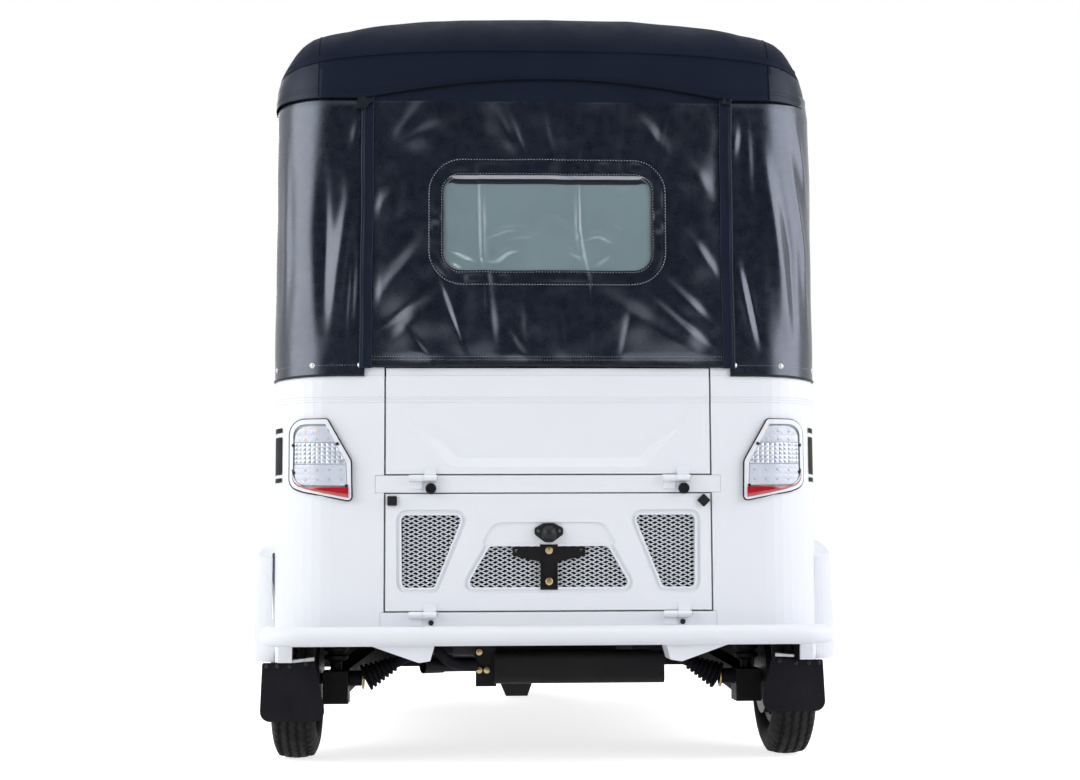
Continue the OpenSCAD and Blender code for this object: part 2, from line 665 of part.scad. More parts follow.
// The right flap hangs nearer the middle and is shorter
flap_x = x_face + 86;
flap_t = 5;
module mudflap(in, foot) {
    top = foot_z - gap;
    along_x(flap_x, flap_x + flap_t) polygon(rounded([[side_y - 98 - in, top + 9], [side_y - 60 - in, top],
        [side_y + 22 - in, top], [side_y + 27 - in, foot], [side_y - 128 - in, foot]], [3, 0, 4, 24, 24]));
}
module mudflaps() color("black") {
    mudflap(0, 110);
    mirror([0, 1, 0]) mudflap(14, 125);
}

bumper_r = 22;
bumper_x = x_face - bumper_reach + bumper_r;
bumper_z = 311;
bumper_half = side_y + 22;
gusset_top = sill_z - gap;
gusset = [for (p = [[-114, 0], [-114, -10], [-104, -44], [-79, -48], [29, -10], [29, 0]])
    [door_half + p[0], gusset_top + p[1]]];
bend_r = 78;
module rear_bumper() color("white") {
    both() {
        translate([bumper_x, 0, bumper_z]) rod_y(bumper_r, 0, bumper_half - bumper_r - bend_r);
        translate([bumper_x + bend_r, bumper_half - bumper_r - bend_r, bumper_z]) rotate([0, 0, 90])
            rotate_extrude(angle = 90) translate([bend_r, 0]) circle(r = bumper_r);
    }
    both() along_x(bumper_x, x_face + 40) polygon(gusset);
}

// Tail lamps wrap the rear corners: a shape in rear view cut from bands round the corner
lamp_top = 806;
lamp_out = side_y - 43;
lamp_in = side_y - 188;
lamp_shape = rounded([[lamp_out, lamp_top], [lamp_out - 88, lamp_top], [lamp_in + 2, 710], [lamp_in, 618],
    [lamp_out - 34, 640], [lamp_out, 652]], [34, 6, 24, 8, 30, 26], 5);
lens_shape = rounded([[lamp_out - 9, lamp_top - 11], [lamp_out - 84, lamp_top - 11], [lamp_in + 12, 706],
    [lamp_in + 10, 656], [lamp_out - 40, 664], [lamp_out - 9, 676]], [26, 4, 16, 4, 24, 20], 5);
wedge_shape = [for (p = bezier([lamp_in + 10, 654], [lamp_out - 40, 661], [lamp_out - 8, 692], 8)) p,
    for (p = bezier([lamp_out - 6, 690], [lamp_out - 10, 656], [lamp_out - 48, 646], 6)) p,
    [lamp_in + 12, 628]];
module lamp_band(shape, out, in) {
    intersection() {
        along_x(x_face - 60, x_face + 200) polygon(shape);
        along_z(600, 830) polygon(rear_band(out, in, flat_y - 102, x_face + 260));
    }
}
module tail_lamp_housings() color("white") both() difference() {
    lamp_band(lamp_shape, 14, gap);
    lamp_band(lens_shape, 40, 6);
    lamp_band(wedge_shape, 40, 6);
}
module tail_lamp_lenses() color("lightgray") both() difference() {
    lamp_band(lens_shape, 12, 6 + gap);
    lamp_band(wedge_shape, 40, 0);
}
module tail_reflectors() color("red") both() lamp_band(wedge_shape, 13, 6 + gap);

module fuel_cap() color("black") translate([x_face + 300, side_y, 648]) rotate([-90, 0, 0])
    rotate_extrude() polygon([[0, gap], [22, gap], [22, 6], [18, 11], [0, 11]]);

// Hood: bows, a crowned roof with a skirt, wrapped quarters and a rear curtain with a clear window
bow_r = 110;
bow_y = side_y - tube_r - 3;
bow_z = roof_z - 90;
stay_r = 9;
stay_y = 380;
module bow_tube(x, foot) {
    translate([x, 0, 0]) both() {
        translate([0, bow_y, foot]) cylinder(r = tube_r, h = bow_z - bow_r - gap - foot);
        translate([0, bow_y - bow_r, bow_z - bow_r]) rotate([90, 0, 90]) rotate_extrude(angle = 90)
            translate([bow_r, 0]) circle(r = tube_r);
        translate([0, 0, bow_z]) rod_y(tube_r, 0, bow_y - bow_r);
    }
}
module hood_frame() color("black") {
    bow_tube(x_face + 165, belt_z + gap);
    bow_tube(x_ra + 420, belt_z + gap);
    bow_tube(post_x - 20, lip_z + gap);
    both() translate([0, stay_y, bow_z - tube_r - stay_r - gap]) rod_x(stay_r, x_face + 145, post_x + 5);
}

roof_power = 2 / 3.4;
roof_rows = 9;
function roof_ring(d, z, t) =
    let (r = max((hood_r - t) * (1 - d / hood_y), 8), x0 = hood_back + t + rear_lean * d,
        x1 = hood_front - t - d, y = hood_y - t - d)
    [for (c = [[x1 - r, y - r, 0], [x0 + r, y - r, 90], [x0 + r, r - y, 180], [x1 - r, r - y, 270]],
            i = [0:6])
        [c[0] + r * cos(c[2] + 15 * i), c[1] + r * sin(c[2] + 15 * i), z]];
function roof_rings(t) =
    [for (i = [0:roof_rows]) let (a = 84 * i / roof_rows)
        roof_ring((hood_y - t) * (1 - pow(cos(a), roof_power)),
            skirt_z + (roof_z - t - skirt_z) * pow(sin(a), roof_power), t)];
module roof_shell() {
    o = roof_rings(0);
    n = roof_rings(cloth);
    c = len(o[0]);
    rows = roof_rows + 1;
    k = rows * c;
    polyhedron([for (r = o) each r, for (r = n) each r], [
        for (i = [0:rows - 2], j = [0:c - 1]) let (q = (j + 1) % c) each [
            [i * c + j, (i + 1) * c + j, (i + 1) * c + q], [i * c + j, (i + 1) * c + q, i * c + q],
            [k + i * c + j, k + (i + 1) * c + q, k + (i + 1) * c + j],
            [k + i * c + j, k + i * c + q, k + (i + 1) * c + q]],
        for (j = [0:c - 1]) let (q = (j + 1) % c) each [[j, q, k + q], [j, k + q, k + j]],
        [for (j = [c - 1:-1:0]) (rows - 1) * c + j], [for (j = [0:c - 1]) k + (rows - 1) * c + j]]);
}
flap_rise = 45;
flap_r = (curtain_half * curtain_half + flap_rise * flap_rise) / (2 * flap_rise);
module flap_arch(in) { translate([0, skirt_z + flap_rise - flap_r - in]) circle(r = flap_r, $fn = 180); }
module hood_roof() color("black") difference() {
    roof_shell();
    along_x(hood_back - 50, hood_back + 60) intersection() {
        flap_arch(0);
        translate([-curtain_half, skirt_z - 50]) square([2 * curtain_half, 200]);
    }
}
module hood_quarters() color("black") both()
    along_z(belt_z - 20, skirt_z - gap)
        polygon(rear_band(0.5 + cloth, 0.5, curtain_half, quarter_front - 20));
window_z0 = 1153;
window_z1 = 1382;
window_r = 42;
module rear_curtain() color("black") difference() {
    along_x(hood_back, hood_back + cloth) intersection() {
        polygon(box2(gap - curtain_half, curtain_half - gap, belt_z - 1, skirt_z + flap_rise - 1));
        flap_arch(gap);
    }
    along_x(hood_back - 10, hood_back + 20)
        polygon(rounded(box2(-window_half, window_half, window_z0, window_z1), window_r));
}
module rear_window() color("lightgray") along_x(hood_back + 1, hood_back + cloth - 1)
    polygon(rounded(grown(box2(-window_half, window_half, window_z0, window_z1), -gap), window_r - gap));

// Engine, exhaust and rear suspension
engine_x = x_face + 185;
output_z = 278;
shaft_y = 222;
engine_half = 170;
engine_z0 = 240;
engine_z1 = 440;
module engine() color("gray") {
    block(engine_x, x_ra + 140 - gap, -engine_half, engine_half, engine_z0, engine_z1);
    block(engine_x + 40, x_ra + 90, -120, 200, engine_z1, engine_z1 + 80);
    along_x(engine_x + 40, x_ra + 40)
        polygon([[32, engine_z0 + 1], [32, 182], [42, 155], [94, 155], [106, 182], [106, engine_z0 + 1]]);
    both() translate([x_ra, 0, output_z]) rod_y(34, engine_half - 10, shaft_y);
}
muffler_y = 125;
muffler_z0 = 195;
muffler_z1 = 268;
module muffler() color("black") {
    along_y(-272, muffler_y) polygon(rounded(box2(x_face + 62, engine_x - gap, muffler_z0, muffler_z1), 16));
    block(x_face + 90, x_face + 94, muffler_y - 5, muffler_y + 43, muffler_z0 - 7, muffler_z1 + 12);
    for (p = [[17, 31], [35, 31], [35, 73]]) translate([0, muffler_y + p[0], muffler_z0 + p[1]])
        rod_x(5, x_face + 84, x_face + 92);
}
pipe_r = 16;
pipe_x = x_face + 120;
pipe_y = 196;
pipe_z = 237;
pipe_bend = 110;
pipe_turn = 30;
module exhaust_pipe() color("black") difference() {
    union() {
        translate([pipe_x, 0, pipe_z]) rod_y(pipe_r, muffler_y + gap, pipe_y);
        translate([pipe_x - pipe_bend, pipe_y, pipe_z]) {
            rotate_extrude(angle = pipe_turn) translate([pipe_bend, 0]) circle(r = pipe_r);
            rotate([0, 0, pipe_turn]) translate([pipe_bend, 0, 0]) rod_y(pipe_r + 2, -6, 46);
        }
    }
    translate([pipe_x - pipe_bend, pipe_y, pipe_z]) rotate([0, 0, pipe_turn]) translate([pipe_bend, 0, 0])
        rod_y(pipe_r - 1, 12, 60);
}
hub_y = wheel_y - 124.5;
hub_z0 = axle_z - 60;
hub_z1 = axle_z + 19;
arm_y = hub_y - 39;
pivot_z = 262;
module trailing_arms() color("black") both() {
    translate([pivot_x, 0, pivot_z]) rod_y(22, rail_y + rail_w / 2 + gap, arm_y);
    hull() {
        block(pivot_x - 30, pivot_x, arm_y - 55, arm_y, pivot_z - 16, pivot_z + 16);
        block(x_ra, x_ra + 30, hub_y + 13, hub_y + 59, hub_z0 + 11, hub_z1 - 6);
    }
    block(x_ra - 42, x_ra + 42, hub_y, wheel_y - 62.5, hub_z0, hub_z1);
    translate([x_ra, 0, axle_z]) rod_y(axle_r, hub_y + 21, wheel_y + 28);
}
damper_y = wheel_y - 92.5;
coil = 20;
damper_len = axle_z + arch_r - hub_z1 - 2;
module rear_dampers() color("black") both() translate([x_ra, damper_y, hub_z1 + gap]) rotate_extrude()
    polygon(concat([[0, 0], [14, 0], [14, coil]],
        [for (i = [0:8]) let (z = i * coil) each [[20, z + 24], [30, z + 29], [30, z + 36], [20, z + 41]]],
        [[26, coil * 8 + 48], [26, damper_len], [0, damper_len]]));
boot_rib = 12;
module drive_shafts() color("black") both() {
    in = [shaft_y + 40, output_z];
    out = [arm_y, axle_z];
    lean = atan2(in[1] - out[1], out[0] - in[0]);
    translate([x_ra, 0, output_z]) rod_y(30, shaft_y + gap, shaft_y + 53);
    translate([x_ra, 0, axle_z]) rod_y(19, arm_y + 8, hub_y - gap);
    translate([x_ra, in[0], in[1]]) rotate([-lean, 0, 0]) rod_y(12, 0, norm(in - out));
    translate([x_ra, out[0] - 2, out[1] + 1]) rotate([-lean, 0, 0]) rotate([90, 0, 0]) rotate_extrude()
        polygon(concat([[0, 0]],
            [for (i = [0:6]) let (z = i * boot_rib, r = 34 - i * 2.6)
                each [[r, z], [r, z + 5], [r - 8 + i * 0.4, z + 8], [r - 8 + i * 0.4, z + 10]]],
            [[13.5, 92], [0, 92]]));
}

// Wheels: a pressed rim with its brake drum, and a ribbed tyre
module rim() color("silver") {
    well = rim_r - 4;
    flange = rim_r + 12;
    bore = axle_r + gap;
    spin_y() polygon([[0, 34], [0, 30.5], [bore, 30.5], [bore, -57], [92, -57], [92, 0], [well, 0],
        [well, -33], [flange, -36], [flange, -32], [rim_r, -30], [rim_r, 30], [flange, 32], [flange, 36],
        [well, 33], [well, 9], [72, 12], [48, 20], [30, 20], [28, 34]]);
    for (i = [0:3]) rotate([0, 45 + 90 * i, 0]) translate([58, 0, 0]) rod_y(9, 8, 26, $fn = 6);
}
function tread(a) = tyre_r - 0.0038 * a * a;
rib_pitch = 20;
module tyre() color("black") spin_y() {
    wall_side = bezier([rim_r + 14, 31.5], [rim_r + 38, tyre_w * 0.645], [tyre_r - 10, tyre_w * 0.41], 7);
    half = concat([[rim_r + gap, 29.5]], wall_side, [[tread(40), 40]],
        [for (g = [1.5, 0.5]) each let (c = g * rib_pitch) [[tread(c + 4), c + 4], [tread(c) - 6, c + 3],
            [tread(c) - 6, c - 3], [tread(c - 4), c - 4]]]);
    polygon(concat(half, [[tyre_r, 0]], [for (i = [len(half) - 1:-1:0]) [half[i][0], -half[i][1]]]));
}
module front_rim() translate([x_fa, 0, axle_z]) rim();
module front_tyre() translate([x_fa, 0, axle_z]) tyre();
module rear_left_rim() translate([x_ra, wheel_y, axle_z]) rim();
module rear_left_tyre() translate([x_ra, wheel_y, axle_z]) tyre();
module rear_right_rim() mirror([0, 1, 0]) rear_left_rim();
module rear_right_tyre() mirror([0, 1, 0]) rear_left_tyre();

// Steered parts, built upright along the steering axis
leg_y = 84;
crown_s = 240;
bar_s = 850;
module fork() color("black") {
    steered() {
        both() {
            translate([0, leg_y, -16]) cylinder(r = 17, h = crown_s + 16);
            translate([0, leg_y, coil]) rotate_extrude() polygon(concat([[0, 0]],
                [for (i = [1:7]) let (z = i * 22)
                    each [[19, z - 2], [25, z + 4], [25, z + 12], [19, z + 18]]],
                [[0, 174]]));
        }
        translate([0, 0, crown_s]) along_z(0, 24) polygon(rounded(box2(-32, 32, -108, 108), 20));
        translate([0, 0, crown_s + 10]) cylinder(r = stem_r, h = bar_s - crown_s - 10);
    }
    translate([x_fa, 0, axle_z]) rod_y(axle_r, -leg_y - 24, leg_y - 60);
    translate([x_fa, 0, axle_z]) rod_y(8, leg_y - 20, leg_y + 24);
}
module handlebar() color("black") steered() translate([0, 0, bar_s + gap]) {
    along_z(0, 34) polygon(rounded(box2(-26, 22, -34, 34), 8));
    translate([0, 0, 17]) both() {
        rod_y(11, 0, bar_half - 120);
        translate([0, bar_half - 122, 0]) rotate([0, 0, 12]) {
            rod_y(14, -12, 20);
            rod_y(16, 10, 124);
            translate([0, 14, 0]) rod_y(22, 0, 16);
            block(26, 34, 20, 110, -5, 5);
            block(0, 34, 18, 30, -6, 6);
        }
    }
}
guard_half = 62;
guard_lip = 14;
module front_mudguard() color("white") {
    r = tyre_r + guard_gap;
    translate([x_fa, 0, axle_z]) rotate([-90, 0, 0]) rotate([0, 0, -185]) rotate_extrude(angle = 185)
        polygon([[r, guard_t - guard_half], [r, guard_half - guard_t], [r - guard_lip, guard_half - guard_t],
            [r - guard_lip, guard_half], [r + guard_t, guard_half], [r + guard_t, -guard_half],
            [r - guard_lip, -guard_half], [r - guard_lip, guard_t - guard_half]]);
    steered() translate([0, 0, r + 1]) cylinder(r = 22, h = crown_s - gap - r - 1);
}

floor_pan();
chassis_rails();
front_cowl();
front_wheel_well();
toe_board();
dashboard();
windscreen_frame();
windscreen_glass();
wiper();
front_lamps();
mirrors();
driver_seat_base();
driver_seat();
partition();
seat_box();
passenger_cushion();
passenger_backrest();
quarter_panel_left();
quarter_panel_right();
rear_frame();
hinge_leaves();
door_buffers();
fenders();
wheel_arches();
rear_bumper();
tail_lamp_housings();
tail_lamp_lenses();
tail_reflectors();
mudflaps();
hood_frame();
hood_roof();
hood_quarters();
rear_curtain();
rear_window();
engine();
muffler();
exhaust_pipe();
trailing_arms();
rear_dampers();
drive_shafts();
fuel_cap();
tailgate();
tailgate_knuckles();
engine_door();
engine_door_mesh();
plate_bracket();
plate_lamp();
door_latches();
engine_door_knuckles();
fork();
handlebar();
front_mudguard();
front_rim();
front_tyre();
rear_left_rim();
rear_left_tyre();
rear_right_rim();
rear_right_tyre();
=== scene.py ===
"""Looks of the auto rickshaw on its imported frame: hood, seats, lamps, grille, tread and finishes."""

import json
import math

import bmesh
import bpy
import numpy as np
from mathutils import Matrix, Vector


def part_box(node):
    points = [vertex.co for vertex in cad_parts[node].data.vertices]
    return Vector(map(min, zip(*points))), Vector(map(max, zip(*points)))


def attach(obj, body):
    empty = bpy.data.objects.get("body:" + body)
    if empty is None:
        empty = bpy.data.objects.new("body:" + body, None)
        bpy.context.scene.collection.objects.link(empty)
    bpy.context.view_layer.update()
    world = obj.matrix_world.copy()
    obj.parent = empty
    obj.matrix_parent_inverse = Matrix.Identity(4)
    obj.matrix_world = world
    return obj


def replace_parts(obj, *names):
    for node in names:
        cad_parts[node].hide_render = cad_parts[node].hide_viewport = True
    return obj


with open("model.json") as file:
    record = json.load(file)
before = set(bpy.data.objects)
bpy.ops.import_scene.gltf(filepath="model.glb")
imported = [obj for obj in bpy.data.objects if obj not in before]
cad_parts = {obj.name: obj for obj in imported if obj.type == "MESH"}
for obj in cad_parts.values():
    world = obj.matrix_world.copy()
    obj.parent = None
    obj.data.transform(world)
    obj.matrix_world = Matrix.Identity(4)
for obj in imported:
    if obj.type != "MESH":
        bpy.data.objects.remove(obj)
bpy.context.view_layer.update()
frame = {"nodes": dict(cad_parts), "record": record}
nodes = frame["nodes"]
scene = bpy.context.scene

# Sizes repeated from the part's source, in metres
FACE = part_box("tailgate")[0].x
SIDE_Y = 0.642
FLAT_Y = 0.502
CORNER_R = SIDE_Y - FLAT_Y
CLOTH_OUT = 0.0055
WRAP_R = CORNER_R + CLOTH_OUT
CORNER_END = FLAT_Y + WRAP_R * math.pi / 2
BACK = FACE - CLOTH_OUT
CURTAIN_HALF = 0.432
CURTAIN_FOOT = 0.9285
SKIRT_Z = 1.563
ROOF_Z = 1.790
HOOD_Y = SIDE_Y + CLOTH_OUT
HOOD_FRONT = 0.9835
FLAP_RISE = 0.045
ROOF_POWER = 2 / 3.4
REAR_LEAN = 0.4
QUARTER_RUN = 0.743
QUARTER_END = CORNER_END + QUARTER_RUN

FORWARD = (1, 0, 0)
REARWARD = (-1, 0, 0)
SIDES = ((1, "left"), (-1, "right"))


# Mesh helpers


def add(name, verts, faces, mat, body="body", slot=None, smooth=True):
    """A mesh piece that rides on a body."""
    mesh = bpy.data.meshes.new(name)
    mesh.from_pydata([tuple(map(float, v)) for v in verts], [], faces)
    mesh.validate()
    mesh.materials.append(mat)
    mesh.polygons.foreach_set("use_smooth", [smooth] * len(mesh.polygons))
    obj = bpy.data.objects.new(name, mesh)
    scene.collection.objects.link(obj)
    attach(obj, body)
    return obj


def grid_faces(rows, cols, closed=False, keep=None):
    """Quads of a grid of rows by cols points, closed in the second direction if asked."""
    faces = []
    for i in range(rows - 1):
        for j in range(cols if closed else cols - 1):
            k = (j + 1) % cols
            if keep is None or keep[i, j]:
                faces.append((i * cols + j, i * cols + k, (i + 1) * cols + k, (i + 1) * cols + j))
    return faces


def add_grid(name, points, mat, slot, closed=False, keep=None, body="body"):
    """A mesh piece made of a grid of points."""
    faces = grid_faces(*points.shape[:2], closed=closed, keep=keep)
    return add(name, points.reshape(-1, 3), faces, mat, body=body, slot=slot)


def grid_normals(points):
    """Unit normals of a grid of points."""
    n = np.cross(np.gradient(points, axis=1), np.gradient(points, axis=0))
    return n / np.maximum(np.linalg.norm(n, axis=-1, keepdims=True), 1e-9)


def cell_mids(values):
    """Values at the middles of a grid's cells."""
    return (values[:-1, :-1] + values[1:, 1:]) / 2


def ramp(value, length, least=0):
    """Rises from least, or 0, to 1 over a length."""
    return np.clip(value / length, least, 1)


def bell(value, width):
    """A rounded bump of height 1."""
    return np.exp(-((value / width) ** 2))


class Heap:
    """Many small shapes gathered into one mesh."""

    def __init__(self):
        self.verts, self.faces = [], []

    def put(self, verts, faces):
        n = len(self.verts)
        self.verts.extend(tuple(v) for v in verts)
        self.faces.extend(tuple(i + n for i in f) for f in faces)

    def add(self, name, mat, **kw):
        return add(name, self.verts, self.faces, mat, **kw)


def basis(normal, up=(0, 0, 1)):
    """Two unit vectors across a normal."""
    n = Vector(normal).normalized()
    a = Vector(up).cross(n)
    if a.length < 1e-3:
        a = Vector((1, 0, 0)).cross(n)
    a.normalize()
    return a, n.cross(a), n


def lathe(heap, centre, normal, profile, sides):
    """A turned shape of (radius, height) points, closed at its last point."""
    a, b, n = basis(normal)
    c = Vector(centre)
    verts = []
    for r, h in profile:
        for k in range(sides):
            t = 2 * math.pi * k / sides
            verts.append(c + a * (r * math.cos(t)) + b * (r * math.sin(t)) + n * h)
    rows = len(profile)
    faces = grid_faces(rows, sides, closed=True)
    faces.append(tuple((rows - 1) * sides + k for k in range(sides)))
    heap.put(verts, faces)


WASHER_T = 0.0014


def hex_bolt(heap, centre, across, height):
    """A washer and a chamfered hexagon head that point to the rear."""
    r = across / 2
    top = WASHER_T + height
    washer = [(r * 1.7, 0), (r * 1.7, 0.0009), (r * 1.55, WASHER_T), (r * 0.6, WASHER_T)]
    head = [(r, 0.0012), (r, top - 0.0010), (r * 0.86, top), (r * 0.3, top)]
    lathe(heap, centre, REARWARD, washer, 20)
    lathe(heap, centre, REARWARD, head, 6)


def dome(heap, centre, normal, radius, height, sides=16):
    """A low rounded cap."""
    steps = [math.radians(90 * i / 5) for i in range(6)]
    profile = [(radius * math.cos(t) + 1e-5, height * math.sin(t)) for t in steps]
    lathe(heap, centre, normal, profile, sides)


# A direction that no tube runs along
TUBE_UP = (0.3, 0.2, 0.93)


def tube(heap, points, radius, sides=8, closed=False):
    """A round tube along a line of points."""
    p = [Vector(q) for q in points]
    m = len(p)
    verts = []
    for i in range(m):
        ahead = p[(i + 1) % m] if closed or i < m - 1 else p[i]
        behind = p[i - 1] if closed or i > 0 else p[i]
        a, b, _ = basis(ahead - behind, TUBE_UP)
        for k in range(sides):
            t = 2 * math.pi * k / sides
            verts.append(p[i] + a * (radius * math.cos(t)) + b * (radius * math.sin(t)))
    faces = grid_faces(m, sides, closed=True)
    if closed:
        last = (m - 1) * sides
        faces += [(last + k, last + (k + 1) % sides, (k + 1) % sides, k) for k in range(sides)]
    heap.put(verts, faces)


def stitches(heap, points, normals, pitch=0.005, length=0.0034, width=0.0013, height=0.0009):
    """Thread beads along a line of points."""
    p = np.asarray(points, float)
    step = np.linalg.norm(np.diff(p, axis=0), axis=1)
    run = np.concatenate([[0], np.cumsum(step)])
    nrm = np.asarray(normals, float)
    for s in np.arange(pitch / 2, run[-1], pitch):
        i = min(np.searchsorted(run, s) - 1, len(step) - 1)
        c = Vector(p[i] + (p[i + 1] - p[i]) * (s - run[i]) / max(step[i], 1e-9))
        t = Vector(p[i + 1] - p[i]).normalized() * (length / 2)
        n = Vector(nrm[i]) * height
        w = t.cross(n).normalized() * (width / 2)
        heap.put([c - t, c + w, c + t, c - w, c - t * 0.5 + n, c + t * 0.5 + n],
                 [(0, 4, 1), (1, 4, 5), (1, 5, 2), (2, 5, 3), (3, 5, 4), (3, 4, 0)])


def rounded(points, radius, steps=6):
    """An outline with each corner rounded by an arc."""
    out, m = [], len(points)
    for i, p in enumerate(points):
        p = Vector(p)
        a = (Vector(points[i - 1]) - p).normalized()
        b = (Vector(points[(i + 1) % m]) - p).normalized()
        r = radius[i] if hasattr(radius, "__len__") else radius
        half = a.angle(b) / 2
        c = p + (a + b).normalized() * (r / math.sin(half))
        s, e = p + a * (r / math.tan(half)) - c, p + b * (r / math.tan(half)) - c
        t0 = math.atan2(s.y, s.x)
        turn = (math.atan2(e.y, e.x) - t0 + math.pi) % (2 * math.pi) - math.pi
        out += [(c.x + r * math.cos(t0 + turn * k / steps), c.y + r * math.sin(t0 + turn * k / steps))
                for k in range(steps + 1)]
    return out


def box2(a0, a1, b0, b1):
    """Corners of a rectangle."""
    return [(a0, b0), (a1, b0), (a1, b1), (a0, b1)]


def inside(outline, y, z):
    """True where a point lies in an outline; y and z are arrays."""
    hit = np.zeros(np.shape(y), bool)
    for (y0, z0), (y1, z1) in zip(outline, outline[1:] + outline[:1]):
        if z0 != z1:
            hit ^= ((z0 > z) != (z1 > z)) & (y < (y1 - y0) * (z - z0) / (z1 - z0) + y0)
    return hit


def clip(poly, outline):
    """A polygon cut to a convex outline that runs anticlockwise."""
    for (ax, ay), (bx, by) in zip(outline, outline[1:] + outline[:1]):
        def side(p):
            return (bx - ax) * (p[1] - ay) - (by - ay) * (p[0] - ax)
        out = []
        for p, q in zip(poly, poly[1:] + poly[:1]):
            sp, sq = side(p), side(q)
            if sp >= 0:
                out.append(p)
            if sp * sq < 0:
                f = sp / (sp - sq)
                out.append((p[0] + (q[0] - p[0]) * f, p[1] + (q[1] - p[1]) * f))
        poly = out
        if not poly:
            break
    return poly


def wrap(s, z, out, side):
    """Point on the rear outline: s runs from the middle of the back round the corner and along the side."""
    s, z, out = np.broadcast_arrays(np.asarray(s, float), np.asarray(z, float), np.asarray(out, float))
    a = np.clip((s - FLAT_Y) / WRAP_R, 0, math.pi / 2)
    run = np.maximum(s - CORNER_END, 0)
    r = CORNER_R + out
    x = FACE + CORNER_R - r * np.cos(a) + run
    return np.stack([x, side * (np.minimum(s, FLAT_Y) + r * np.sin(a)), z], -1)


def wrap_normal(s, side):
    """Outward normal of the rear outline."""
    a = np.clip((np.asarray(s, float) - FLAT_Y) / WRAP_R, 0, math.pi / 2)
    return np.stack([-np.cos(a), side * np.sin(a), 0 * a], -1)


def folds(table, s, z):
    """Sum of rounded folds. Each row: points along the fold, its two half widths and its height, in mm."""
    lift = np.zeros(np.broadcast(s, z).shape)
    for line, left, right, height in table:
        near = np.full(lift.shape, 1e9)
        offset = np.zeros(lift.shape)
        along = np.zeros(lift.shape)
        total = sum(math.dist(a, b) for a, b in zip(line, line[1:])) / 1000
        run = 0.0
        for (s0, z0), (s1, z1) in zip(line, line[1:]):
            ds, dz = (s1 - s0) / 1000, (z1 - z0) / 1000
            t = np.clip(((s - s0 / 1000) * ds + (z - z0 / 1000) * dz) / (ds * ds + dz * dz), 0, 1)
            es, ez = s - s0 / 1000 - t * ds, z - z0 / 1000 - t * dz
            dist = np.hypot(es, ez)
            closer = dist < near
            near = np.where(closer, dist, near)
            offset = np.where(closer, ds * ez - dz * es, offset)
            along = np.where(closer, run + t * math.hypot(ds, dz), along)
            run += math.hypot(ds, dz)
        width = np.where(offset > 0, left, right) / 1000
        ends = np.clip(np.minimum(along, total - along) / (0.5 * total), 0, 1)
        lift += height / 1000 * np.exp(-((near / width) ** 2)) * ends * ends * (3 - 2 * ends)
    return lift


# Materials


def set_inputs(node, values):
    """Values of a node's inputs; an underscore in a name stands for a space."""
    for key, value in values.items():
        node.inputs[key.replace("_", " ")].default_value = value


def new_node(tree, kind, **values):
    """A shader node with values on its inputs."""
    node = tree.nodes.new("ShaderNode" + kind)
    set_inputs(node, values)
    return node


def shader(name, colour, other, patch, rough, grain, depth, edge=0.0, cells=False, **sockets):
    """A finish whose colour drifts between two shades, with uneven gloss, a grain and softened edges.

    patch and grain are the scales of the drift and of the grain; depth and edge are in metres.
    """
    mat = bpy.data.materials.new(name)
    mat.use_nodes = True
    tree = mat.node_tree
    bsdf = tree.nodes["Principled BSDF"]
    link = tree.links.new
    where = new_node(tree, "TexCoord").outputs["Object"]

    def texture(kind, output, **values):
        node = new_node(tree, kind, **values)
        link(where, node.inputs["Vector"])
        return node.outputs[output]

    drift = new_node(tree, "ValToRGB")
    first, last = drift.color_ramp.elements
    first.position, last.position = 0.35, 0.68
    first.color, last.color = (*colour, 1), (*other, 1)
    link(texture("TexNoise", "Fac", Scale=patch, Detail=6), drift.inputs["Fac"])
    link(drift.outputs["Color"], bsdf.inputs["Base Color"])
    gloss = new_node(tree, "MapRange", From_Min=0.3, From_Max=0.7, To_Min=rough[0], To_Max=rough[1])
    link(texture("TexNoise", "Fac", Scale=patch * 5, Detail=5), gloss.inputs["Value"])
    link(gloss.outputs["Result"], bsdf.inputs["Roughness"])
    if cells:
        height = texture("TexVoronoi", "Distance", Scale=grain)
    else:
        height = texture("TexNoise", "Fac", Scale=grain, Detail=3)
    bump = new_node(tree, "Bump", Distance=depth)
    link(height, bump.inputs["Height"])
    if edge:
        soft = new_node(tree, "Bevel", Radius=edge)
        soft.samples = 4
        link(soft.outputs["Normal"], bump.inputs["Normal"])
    link(bump.outputs["Normal"], bsdf.inputs["Normal"])
    set_inputs(bsdf, sockets)
    return mat


NAVY = ((0.0062, 0.0100, 0.0215), (0.0082, 0.0125, 0.0255))
BLUISH = (0.8, 0.9, 1, 1)

# Each finish: two shades, patch scale, roughness range, grain scale, grain depth, then other sockets
white_paint = shader("white_paint", (0.812, 0.836, 0.884), (0.805, 0.829, 0.878), 0.9, (0.40, 0.46), 260,
                     0.00003, edge=0.0016, Specular_IOR_Level=0.30, Coat_Weight=0.12, Coat_Roughness=0.20)
black_paint = shader("black_paint", (0.0075, 0.0075, 0.0090), (0.0125, 0.0120, 0.0125), 9, (0.40, 0.58), 420,
                     0.00012, edge=0.001, Specular_IOR_Level=0.12)
grey_paint = shader("grey_paint", (0.034, 0.035, 0.037), (0.026, 0.026, 0.028), 6, (0.45, 0.62), 380, 0.00015,
                    edge=0.0012, Specular_IOR_Level=0.3)
hood_top = shader("hood_top_vinyl", *NAVY, 7, (0.55, 0.66), 1100, 0.00022, cells=True,
                  Specular_IOR_Level=0.09, Specular_Tint=BLUISH)
hood_side = shader("hood_side_vinyl", (0.0026, 0.0050, 0.0120), (0.0040, 0.0072, 0.0160), 9, (0.25, 0.32),
                   1100, 0.000008, cells=True, Specular_IOR_Level=1.0, Specular_Tint=(0.78, 0.86, 1, 1))
